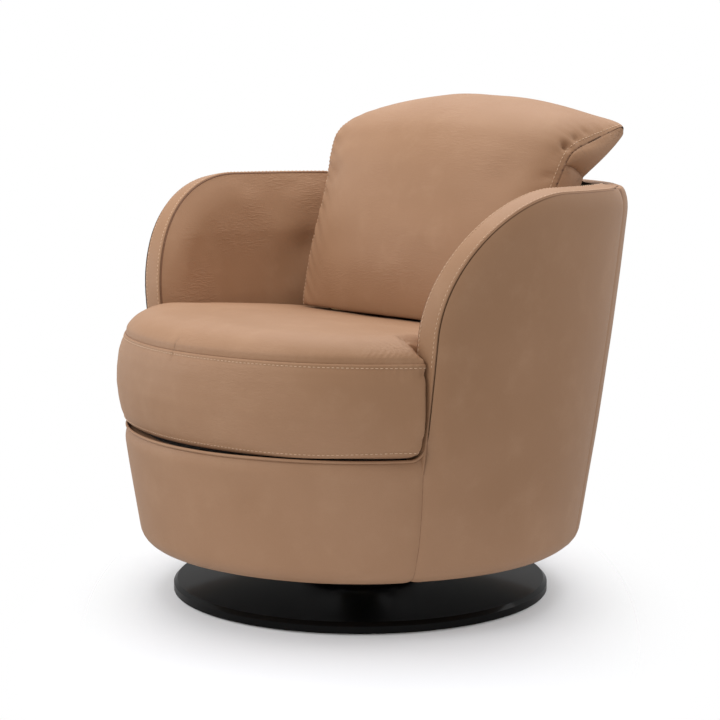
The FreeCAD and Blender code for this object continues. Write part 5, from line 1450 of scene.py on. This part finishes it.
# %% Boxing strip with its sewn edges
to_top = row_distances(boxing, -1)
to_low = row_distances(boxing, 0)
box_seam = np.minimum(to_top, to_low)
box_along = np.repeat(closed_run(top_seam)[None], len(box_levels), axis=0)
normal = normals_of(boxing, closed=True)
flap_top = smooth_step((TOP_ROW + 0.0008 - to_top) / 0.0016)
flap_low = smooth_step((low_row + 0.0008 - to_low) / 0.0016)
groove = 0.0008 * (bell(to_top - TOP_ROW, 0.0012) + bell(to_low - low_row, 0.0012))
edge_fall = 0.0020 * (1 - ease(to_top / 0.0020)) + 0.0016 * (1 - ease(to_low / 0.0020))
calm = smooth_step(box_seam / 0.03)
swell = swells(boxing, (7.0, 51.0, 0.0022), (19.0, 53.0, 0.0007))
box_angle = np.arctan2(boxing[..., 0], -boxing[..., 1])
corner = near_ears(box_angle, 63, 0.16)
gathers = np.sin(box_along * 2 * math.pi / GATHER_PITCH + drift(boxing, 30.0, 55.0) * 2.5)
gathers = gathers * np.exp(-to_top / 0.012) * smooth_step(to_top / 0.004) * (0.00012 + 0.0005 * corner)
pinch = np.zeros(boxing.shape[:2])
for turned_way in (1, -1):
    for level, depth in PINCHES:
        spot = np.array((turned_way * 0.367, -0.184, level))
        away = np.linalg.norm((boxing - spot) * np.array((1.0, 1.0, 1.3)), axis=2)
        pinch += depth * bell(away, 0.0085)
box_out = 0.0010 * (flap_top + flap_low) - groove - edge_fall + swell * calm + gathers - pinch
box_grid = boxing + normal * box_out[..., None]

# %% [markdown]
# ## Top and bottom of the seat
# The top panel is drawn as the outline again and again towards the middle, so its rows follow
# the seam. A crown lifts it: steep by the seam and nearly level in the middle, lower towards
# the rear, and with small gathered folds where the seam turns the ears' corners.

# %% Rings of the top panel
PILLOW_RISE = 0.0380
REAR_SLOPE = 0.0932
FRONT_RUN = 0.0692
TUB_RUN = 0.0265
EAR_RUN = 0.0231
FOLD_PITCH = 0.0088
FALL_LENGTH = 0.366
top_steps = np.array((
    0.0, 0.0003, 0.0008, 0.0015, 0.0024, 0.0036, 0.0052, 0.0072, 0.0096, 0.0125, 0.016,
    0.020, 0.0245, 0.0295, 0.035, 0.041, 0.048, 0.056, 0.065, 0.075, 0.087, 0.100,
    0.115, 0.132, 0.152, 0.174, 0.198, 0.224, 0.252, 0.282, 0.314, 0.344, 0.3659,
)) / FALL_LENGTH


def panel_rings(seam, steps):
    """An outline drawn again and again towards the cushion's middle."""
    return np.array([SEAT_CENTRE + (seam - SEAT_CENTRE) * (1 - step) for step in steps])


top_flat = panel_rings(top_seam[:, :2], top_steps)
dense_seam = resampled(np.concatenate([top_seam, top_seam[:1]]), np.linspace(0, 1, 2400))
probe = np.concatenate([top_flat, np.full(top_flat.shape[:2] + (1,), SEAT_SEAM)], axis=2)
top_gap, top_run = reach_to(probe, dense_seam)
top_angle = np.arctan2(probe[..., 0], -probe[..., 1])
seam_y = dense_seam[:, 1]
front_gap_of, _ = reach_to(probe, dense_seam[seam_y < -0.187])
tub_gap_of, _ = reach_to(probe, dense_seam[seam_y > -0.170])
ear_gap_of, _ = reach_to(probe, dense_seam[np.abs(seam_y + 0.180) < 0.006])


# %% The crown
def pillow(gap, reach, power):
    """The rise of a filled panel at a distance from its seam, steep first and then level."""
    return ease(gap / reach, 2.4) ** power


ear_floor = 0.61 * (1 - smooth_step((np.abs(probe[..., 0]) - 0.326) / 0.034))
ear_rise = ear_floor + (1 - ear_floor) * pillow(ear_gap_of, EAR_RUN, 0.6)
by_notch = bell(np.hypot(np.abs(probe[..., 0]) - 0.328, probe[..., 1] + 0.178), 0.034)
tub_rise = pillow(tub_gap_of, TUB_RUN, 1.18)
tub_rise = tub_rise + (1 - tub_rise) * 0.72 * by_notch
crown = PILLOW_RISE * pillow(front_gap_of, FRONT_RUN, 0.6) * tub_rise * ear_rise
crown = crown + 0.0026 * smooth_step(top_gap / 0.14)
behind = probe[..., 1] + 0.171
crown = crown - REAR_SLOPE * 0.5 * (behind + np.hypot(behind, 0.03)) * smooth_step(top_gap / 0.02)
print("the crown rises", round(float(crown.max()), 4), "m above the seam")

# %% Folds by the ears, and the sewn edge
corner = near_ears(top_angle, 60, 0.20)
swell = swells(probe, (4.0, 61.0, 0.0022), (11.0, 63.0, 0.0012))
slant = top_run - top_gap * 1.1 * np.sign(probe[..., 0])
folds = np.sin(slant * 2 * math.pi / FOLD_PITCH + drift(probe, 20.0, 65.0) * 5.0)
folds = folds * np.clip(0.6 + drift(probe, 45.0, 67.0) * 1.4, 0, 1)
folds = folds * bell(top_gap - 0.0095, 0.0085) * smooth_step(top_gap / 0.004)
folds = folds * (0.00005 + 0.0017 * corner)
top_height = SEAT_SEAM + crown + swell * smooth_step(top_gap / 0.06) + folds
bulge_out = 0.0010 * bell(top_gap - 0.0030, 0.004) * smooth_step(top_gap / 0.0030)
outward = top_flat - SEAT_CENTRE
outward = outward / np.maximum(np.linalg.norm(outward, axis=2, keepdims=True), 1e-9)
top_flat = top_flat + outward * bulge_out[..., None]
top_grid = np.concatenate([top_flat, top_height[..., None]], axis=2)
sewn_shift = (box_grid[-1] - boxing[-1])[None] * np.exp(-top_gap / 0.0030)[..., None]
top_grid = top_grid + sewn_shift
top_grid[0] = box_grid[-1]
top_seam_mark = np.where(top_gap < 0.03, np.hypot(top_gap, crown * 0.6), top_gap)

# %% Bottom panel, and the cushion sewn together
low_steps = np.array((0.0, 0.001, 0.003, 0.008, 0.02, 0.06, 0.13, 0.22, 0.33, 0.3659)) / FALL_LENGTH
low_flat = panel_rings(low_seam[:, :2], low_steps)
level_off = ease(low_steps * FALL_LENGTH / 0.030)[:, None]
low_height = low_seam[None, :, 2] * (1 - level_off) + (SEAT_LOW - 0.0012) * level_off
low_grid = np.concatenate([low_flat, low_height[..., None]], axis=2)
low_grid[0] = box_grid[0]

seat = Cut()
seat.add(box_grid, box_seam, box_along, closed=True)
seat.add(top_grid, top_seam_mark, top_run, closed=True)
seat.add(low_grid[::-1], closed=True)
seat_cushion = seat.sewn("seat_cushion", cushion_leather)
placed(seat_cushion, "tub", "tan_leather", "seat_cushion_cover", "seat_cushion_foam")

# %% [markdown]
# ## Stitches round the seat
# One row of thread runs below the top seam and one above the bottom seam. Both are read off
# the finished strip, column by column, so they dip wherever the hide is pinched.

# %% Stitch rows on the seat cushion
box_normal = normals_of(box_grid, closed=True)


def boxing_row(distance, distances):
    """A line round the boxing at a distance from one of its edges."""
    points = []
    faces = []
    for column in range(columns):
        order = np.argsort(distances[:, column])
        where = distances[order, column]
        points.append(read_off(distance[column], where, box_grid[order, column]))
        faces.append(read_off(distance[column], where, box_normal[order, column]))
    return np.array(points + points[:1]), np.array(faces + faces[:1])


top_row = np.full(columns, TOP_ROW)
for row, distance, distances in (("top", top_row, to_top), ("bottom", low_row, to_low)):
    row_points, row_faces = boxing_row(distance, distances)
    placed(stitches("seat_stitches_" + row, row_points, row_faces), "tub", "tan_leather")

# %% [markdown]
# ## Back cushion and headrest
# One long front panel rises from the seat, folds back over the top and tucks under behind.
# The part above the fold is the headrest, which lifts about the hinges inside it. Gussets
# close both ends, and black cloth closes the back, where the board and the hinges are.

# %% The long front panel
CUSHION_HALF = 0.270
PLEAT_PITCH = 0.031
RIGHT_LINE = (
    (0.100, 0.4505), (0.092, 0.4560), (0.108, 0.522), (0.132, 0.585), (0.162, 0.640),
    (0.182, 0.672), (0.195, 0.694), (0.2060, 0.7135), (0.2200, 0.7310), (0.2390, 0.7415),
    (0.2650, 0.7500), (0.3000, 0.7620), (0.3375, 0.7740), (0.3420, 0.7670), (0.3370, 0.7560),
    (0.3020, 0.7280), (0.2480, 0.6930),
)
LEFT_LINE = (
    (0.100, 0.4520), (0.092, 0.4580), (0.107, 0.527), (0.126, 0.593), (0.143, 0.645),
    (0.152, 0.680), (0.155, 0.704), (0.1590, 0.7270), (0.1680, 0.7530), (0.1890, 0.7720),
    (0.2250, 0.7840), (0.2750, 0.7860), (0.3180, 0.7800), (0.3380, 0.7700), (0.3320, 0.7550),
    (0.2950, 0.7270), (0.2470, 0.6930),
)
MIDDLE_LINE = (
    (0.084, 0.4520), (0.064, 0.4595), (0.058, 0.527), (0.068, 0.590), (0.086, 0.648),
    (0.100, 0.690), (0.113, 0.722), (0.130, 0.752), (0.156, 0.785), (0.200, 0.814),
    (0.255, 0.8265), (0.305, 0.8190), (0.345, 0.7990), (0.361, 0.7800), (0.3580, 0.7600),
    (0.3100, 0.7250), (0.2470, 0.6930),
)


def through(points, count):
    """A smooth line through points, with the parameter kept in step between two such lines."""
    points = np.asarray(points)
    slope = np.gradient(points, axis=0)
    fine = np.linspace(0, len(points) - 1, count)
    low = np.clip(fine.astype(int), 0, len(points) - 2)
    t = (fine - low)[:, None]
    return ((2 * t ** 3 - 3 * t ** 2 + 1) * points[low] + (t ** 3 - 2 * t ** 2 + t) * slope[low]
            + (-2 * t ** 3 + 3 * t ** 2) * points[low + 1] + (t ** 3 - t ** 2) * slope[low + 1])


# %% The form of the front panel
front_rows = 190
lines = [through(line, front_rows) for line in (LEFT_LINE, MIDDLE_LINE, RIGHT_LINE)]
run = sum(lengths_of(line) / lengths_of(line)[-1] for line in lines) / 3
even = np.linspace(0, 1, front_rows)
left_line, middle_line, right_line = [read_off(even, run, line) for line in lines]

half_steps = knots(2 * CUSHION_HALF, 0.0010, 0.0070, 0.03) * 2 - 1
fold_share = smooth_step((even - 0.42) / 0.16)[:, None]
width_share = np.abs(half_steps)[None]
soft_end = np.clip(1 - width_share ** 2.3, 0, 1) ** 0.62
square_end = 0.42 * (1 - width_share ** 2) + 0.58 * np.clip(1 - width_share ** 9, 0, 1) ** 0.8
right_end = soft_end * (1 - fold_share) + square_end * fold_share
left_end = soft_end ** (1 + 0.12 * fold_share)
swell_share = np.where(half_steps[None] > 0, right_end, left_end)
end_line = np.where(half_steps[None, :, None] > 0, right_line[:, None], left_line[:, None])
panel_yz = end_line + (middle_line[:, None] - end_line) * swell_share[..., None]
panel_x = np.broadcast_to((half_steps * CUSHION_HALF)[None, :, None], panel_yz.shape[:2] + (1,))
front_panel = np.concatenate([panel_x, panel_yz], axis=2)
panel_edge = np.minimum(half_steps + 1, 1 - half_steps) * CUSHION_HALF
panel_gap = np.broadcast_to(panel_edge[None], panel_yz.shape[:2])
panel_along = np.repeat(lengths_of(middle_line)[:, None], len(half_steps), axis=1)


# %% Swells, pleats and hollows
def facing_front(grid):
    """The grid's normals, turned to face out of the cushion."""
    facing = normals_of(grid)
    return -facing if facing[20, grid.shape[1] // 2, 1] > 0 else facing


panel_normal = facing_front(front_panel)
swell = swells(front_panel, (4.5, 71.0, 0.0040), (12.0, 73.0, 0.0014))
pleat_turn = (panel_along + panel_gap * 0.80) * 2 * math.pi / PLEAT_PITCH
pleat = np.sin(pleat_turn + drift(front_panel, 11.0, 75.0) * 3.4)
pleat = pleat * (0.55 + 0.9 * np.abs(drift(front_panel, 9.0, 77.0)))
at_left = (half_steps[None] < 0) * np.exp(-panel_gap / 0.030) * smooth_step(panel_gap / 0.014)
at_right = (half_steps[None] > 0) * np.exp(-panel_gap / 0.016) * smooth_step(panel_gap / 0.008)
pleat = pleat * (at_left * (0.0024 - 0.0012 * fold_share) + at_right * 0.0007)

HOLLOWS = (
    ((0.263, 0.213, 0.744), 0.0070, 0.0105),
    ((0.254, 0.200, 0.728), 0.012, 0.0035),
    ((0.263, 0.236, 0.756), 0.0060, 0.0052),
    ((0.262, 0.260, 0.766), 0.0055, 0.0020),
    ((0.261, 0.174, 0.696), 0.010, 0.0022),
    ((0.205, 0.120, 0.700), 0.030, 0.0035),
    ((-0.225, 0.118, 0.690), 0.022, 0.0035),
    ((-0.215, 0.122, 0.725), 0.022, -0.0030),
)
sunk = dimples(front_panel, HOLLOWS)
panel_out = swell * smooth_step(panel_gap / 0.05) + pleat - sunk
front_panel = front_panel + panel_normal * panel_out[..., None]

# %% [markdown]
# ## Gussets
# At each end of the cushion two flat pieces close the gap between the front panel and the
# back. A seam runs between them from the crease behind the headrest to the front, so each is
# a grid between four curves, blown out a little like any filled cushion's end.

# %% Gussets at both ends
GUSSET_BULGE = 0.008


def filled(bottom, top, left, right, rows, columns):
    """A flat end panel between four curves in (back, height), bulged outward."""
    u = np.linspace(0, 1, columns)
    v = np.linspace(0, 1, rows)
    edges = [resampled(through(line, 60), shares)
             for line, shares in ((bottom, u), (top, u), (left, v), (right, v))]
    out = GUSSET_BULGE * (np.sin(math.pi * u)[None] * np.sin(math.pi * v)[:, None]) ** 0.6
    return np.concatenate([(CUSHION_HALF + out)[..., None], coons(*edges, u, v)], axis=2)


BOARD_LINE = [(back_plane(level) - 0.001, level) for level in (0.452, 0.520, 0.580, 0.640, 0.672)]


def gussets(line, seam_bow):
    """The lower and the upper end panel of one end, from that end's line."""
    crease = line[-1]
    start = line[7]
    mid = ((start[0] + crease[0]) / 2, (start[1] + crease[1]) / 2 + seam_bow)
    gusset_line = (start, mid, crease)
    low_front = line[1:8]
    low_back = BOARD_LINE + [crease]
    low_bottom = (line[1], (0.125, 0.4500), BOARD_LINE[0])
    lower = filled(low_bottom, gusset_line, low_front, low_back, 60, 26)
    high_top = line[9:13]
    high_right = (crease,) + line[15:11:-1]
    upper = filled(gusset_line, high_top, line[7:10], high_right, 26, 40)
    return lower, upper


# %% The back cushion sewn together
def gusset_seam(grid):
    """Each point's distance to the end panel's edges, and how far along them it is."""
    return reach_to(grid, np.concatenate([grid[0], grid[-1], grid[:, 0], grid[:, -1]]))


back = Cut().add(front_panel, panel_gap, panel_along)
for grid in gussets(RIGHT_LINE, 0.0045):
    back.add(grid, *gusset_seam(grid), flip=True)
for grid in gussets(LEFT_LINE, 0.0060):
    back.add(mirrored_grid(grid), *gusset_seam(grid))
back_cushion = back.sewn("back_cushion", cushion_leather)
back_cushion.modifiers.new("seam_weld", "WELD").merge_threshold = 0.0004
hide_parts("back_cushion_cover", "back_cushion_foam", "headrest_cover", "headrest_foam")
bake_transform(back_cushion)

# %% [markdown]
# ## Stitches at the cushion's ends
# A row of thread runs up each end of the front panel, beside the seam to the gussets.

# %% Stitches beside the cushion's end seams
END_STITCH_GAP = 0.0038
edge_column = int(np.argmin(np.abs(panel_edge[:len(half_steps) // 2] - END_STITCH_GAP)))
normal_out = facing_front(front_panel)
for side, column in (("left", edge_column), ("right", len(half_steps) - 1 - edge_column)):
    row = stitches("back_stitches_" + side, front_panel[2:146, column], normal_out[2:146, column])
    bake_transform(row)

# %% [markdown]
# ## Cloth in the crease
# Black cloth joins the folded headrest's rear to the frame, and a patch of it shows behind the
# cushion. It hangs slack, so that it can follow when the headrest folds up. Its slack line is
# drawn once across the width, with some seeded unevenness.

# %% Black cloth in the crease behind the headrest
CREASE_HALF = 0.262
CREASE_LINE = (
    (0.262, 0.7040), (0.250, 0.6935), (0.262, 0.6850), (0.285, 0.6805), (0.310, 0.6740),
    (0.320, 0.6560),
)
crease_profile = through(CREASE_LINE, 26)
crease_x = np.linspace(-CREASE_HALF, CREASE_HALF, 90)
crease_grid = np.empty((26, 90, 3))
crease_grid[..., 0] = crease_x[None]
crease_grid[..., 1:] = crease_profile[:, None]
bend = np.abs(crease_x / CREASE_HALF)[None] ** 4 * 0.012
crease_grid[..., 1] -= bend * np.linspace(0, 1, 26)[:, None]
crease_grid[..., 2] += drift(crease_grid, 18.0, 91.0) * 0.0022
crease_cloth = Cut().add(crease_grid).sewn("crease_cloth", FINISHES["black_cloth"])
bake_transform(crease_cloth)

# %% [markdown]
# ## Deck
# Under the seat cushion a padded deck rests on the webbing, covered in black cloth. Only a
# dark line of it can be seen in the gap under the cushion, so a plain form with a rounded
# edge will do. It is one outline that shrinks from the edge to the middle.

# %% Padded deck
DECK_PROFILE = (
    (0.0, 0.2705), (0.99, 0.2705), (1.0, 0.2720), (1.0, 0.2780), (0.992, 0.2825),
    (0.975, 0.2845), (0.90, 0.2852), (0.6, 0.2850), (0.2, 0.2850), (0.0, 0.2850),
)
deck_turn = np.linspace(0, 2 * math.pi, 161)[:-1]
deck_radius = float(wall_radius(0.28)) - 0.030
deck_x = deck_radius * np.sin(deck_turn)
deck_y = np.minimum(-deck_radius * np.cos(deck_turn), back_plane(0.272) - 0.002)
deck_outline = softened(np.stack([deck_x, deck_y], axis=1), 0.006)
deck_rows = np.array([lifted(deck_outline * share, level) for share, level in DECK_PROFILE])
deck = Cut().add(deck_rows, closed=True).sewn("deck_platform", FINISHES["black_cloth"])
placed(deck, "tub", "black_cloth", "deck_pad")

# %% [markdown]
# ## Dust cover
# The cloth is a ring that is stapled to the bottom board at its outer edge and goes round the
# hub. A stretched cloth is nearly flat, so it gets slow waves and fine gathers that fade out
# at both edges.

# %% Dust cover
CLOTH_INNER = 0.108
CLOTH_OUTER = 0.298
CLOTH_LEVEL = 0.0905
cloth_radii = np.linspace(CLOTH_INNER, CLOTH_OUTER, 40)
cloth_turn = np.linspace(0, 2 * math.pi, 361)[:-1]
grid_turn, grid_radius = np.meshgrid(cloth_turn, cloth_radii)
cloth_flat = turned(grid_radius, grid_turn, 0.0)
pull = smooth_step((grid_radius - 0.16) / 0.10)
waves = swells(cloth_flat, (9.0, 81.0, 0.0020), (26.0, 83.0, 0.0009))
gathers = np.sin(grid_turn * 74 + drift(cloth_flat, 7.0, 85.0) * 5) * 0.0006 * pull
outer_fade = smooth_step((CLOTH_OUTER - grid_radius) / 0.012)
fade = outer_fade * smooth_step((grid_radius - CLOTH_INNER) / 0.02)
cloth_grid = cloth_flat + np.array((0.0, 0.0, CLOTH_LEVEL))
cloth_grid[..., 2] += (waves + gathers) * fade
cloth = Cut().add(cloth_grid, closed=True, flip=True).sewn("dust_cloth", FINISHES["black_cloth"])
placed(cloth, "tub", "black_cloth", "dust_cover")

# %% [markdown]
# ## Floor and light
# The photograph is a shop picture on white: one broad soft light above, with weaker softboxes
# in front, at the picture's left and behind. The side panel at the picture's right gets the
# least light. The floor is a pale disc that fades out, so that only the soft shadow under the
# chair is left of it.

# %% Floor
FLOOR_REACHES = (0.02, 1.0, 2.0, 3.0, 4.2)
FLOOR_SIDES = 128
floor_turn = np.linspace(0, 2 * math.pi, FLOOR_SIDES + 1)[:-1]
floor_ring = np.stack([np.cos(floor_turn), np.sin(floor_turn), 0 * floor_turn], axis=1)
floor_points = np.concatenate([floor_ring * reach for reach in FLOOR_REACHES])
floor_faces = grid_faces(len(FLOOR_REACHES), FLOOR_SIDES, closed=True).tolist()
floor_faces.append(list(range(FLOOR_SIDES - 1, -1, -1)))
floor_mesh = bpy.data.meshes.new("floor")
floor_mesh.from_pydata(floor_points.tolist(), [], floor_faces)
floor = bpy.data.objects.new("floor", floor_mesh)
bpy.context.scene.collection.objects.link(floor)
paper = Finish("paper")
paper_place = paper.place()
fibre = paper.cloud(paper_place, 3.0)
toward_camera = {"Vector": paper_place, "Angle": -math.radians(50)}
facing = paper.add("VectorRotate", {"rotation_type": "Z_AXIS"}, toward_camera)
spread = paper.stretch(facing, 1.0, 0.42, 1.0)
reach = paper.add("VectorMath", {"operation": "LENGTH"}, {0: spread}, 1)
floor_mesh.materials.append(paper.surface(
    Base_Color=paper.mix(fibre, tone(244, 246, 250), tone(246, 248, 252)),
    Roughness=0.85 + fibre * 0.05,
    Alpha=reach.fade(0.56, 0.26) * 0.86,
    Specular_IOR_Level=0.1,
))


# %% Softboxes
def softbox(name, place, aim, width, height, watts):
    """A rectangular lamp at a place, turned to face the point it is aimed at."""
    lamp = bpy.data.lights.new(name, "AREA")
    lamp.shape = "RECTANGLE"
    lamp.size = width
    lamp.size_y = height
    lamp.energy = watts
    item = bpy.data.objects.new(name, lamp)
    item.location = place
    item.rotation_euler = (Vector(aim) - Vector(place)).to_track_quat("-Z", "Y").to_euler()
    bpy.context.scene.collection.objects.link(item)


softbox("overhead_softbox", (-0.4, 0.5, 2.9), (0.0, 0.0, 0.4), 2.8, 2.8, 69)
softbox("front_softbox", (-0.3, -2.8, 2.4), (0.0, 0.0, 0.45), 1.8, 1.2, 29)
softbox("left_softbox", (-2.7, -1.8, 1.0), (0.0, 0.0, 0.4), 1.6, 1.4, 21)
softbox("back_softbox", (1.5, 2.9, 1.7), (0.0, 0.0, 0.5), 1.8, 2.2, 20)

# %% Sky
SKY_LIGHT = 0.62

world = bpy.data.worlds.new("studio")
world.use_nodes = True
sky = world.node_tree
backdrop = sky.nodes["Background"]
backdrop.inputs["Color"].default_value = (1.0, 1.0, 1.0, 1.0)
ray = sky.nodes.new("ShaderNodeLightPath")
level = sky.nodes.new("ShaderNodeMapRange")
level.inputs["To Min"].default_value = SKY_LIGHT
level.inputs["To Max"].default_value = 1.0
sky.links.new(ray.outputs["Is Camera Ray"], level.inputs["Value"])
sky.links.new(level.outputs["Result"], backdrop.inputs["Strength"])
bpy.context.scene.world = world
bpy.context.scene.view_settings.view_transform = "Standard"
print("the sky's light is", SKY_LIGHT, "and the camera sees it as white")
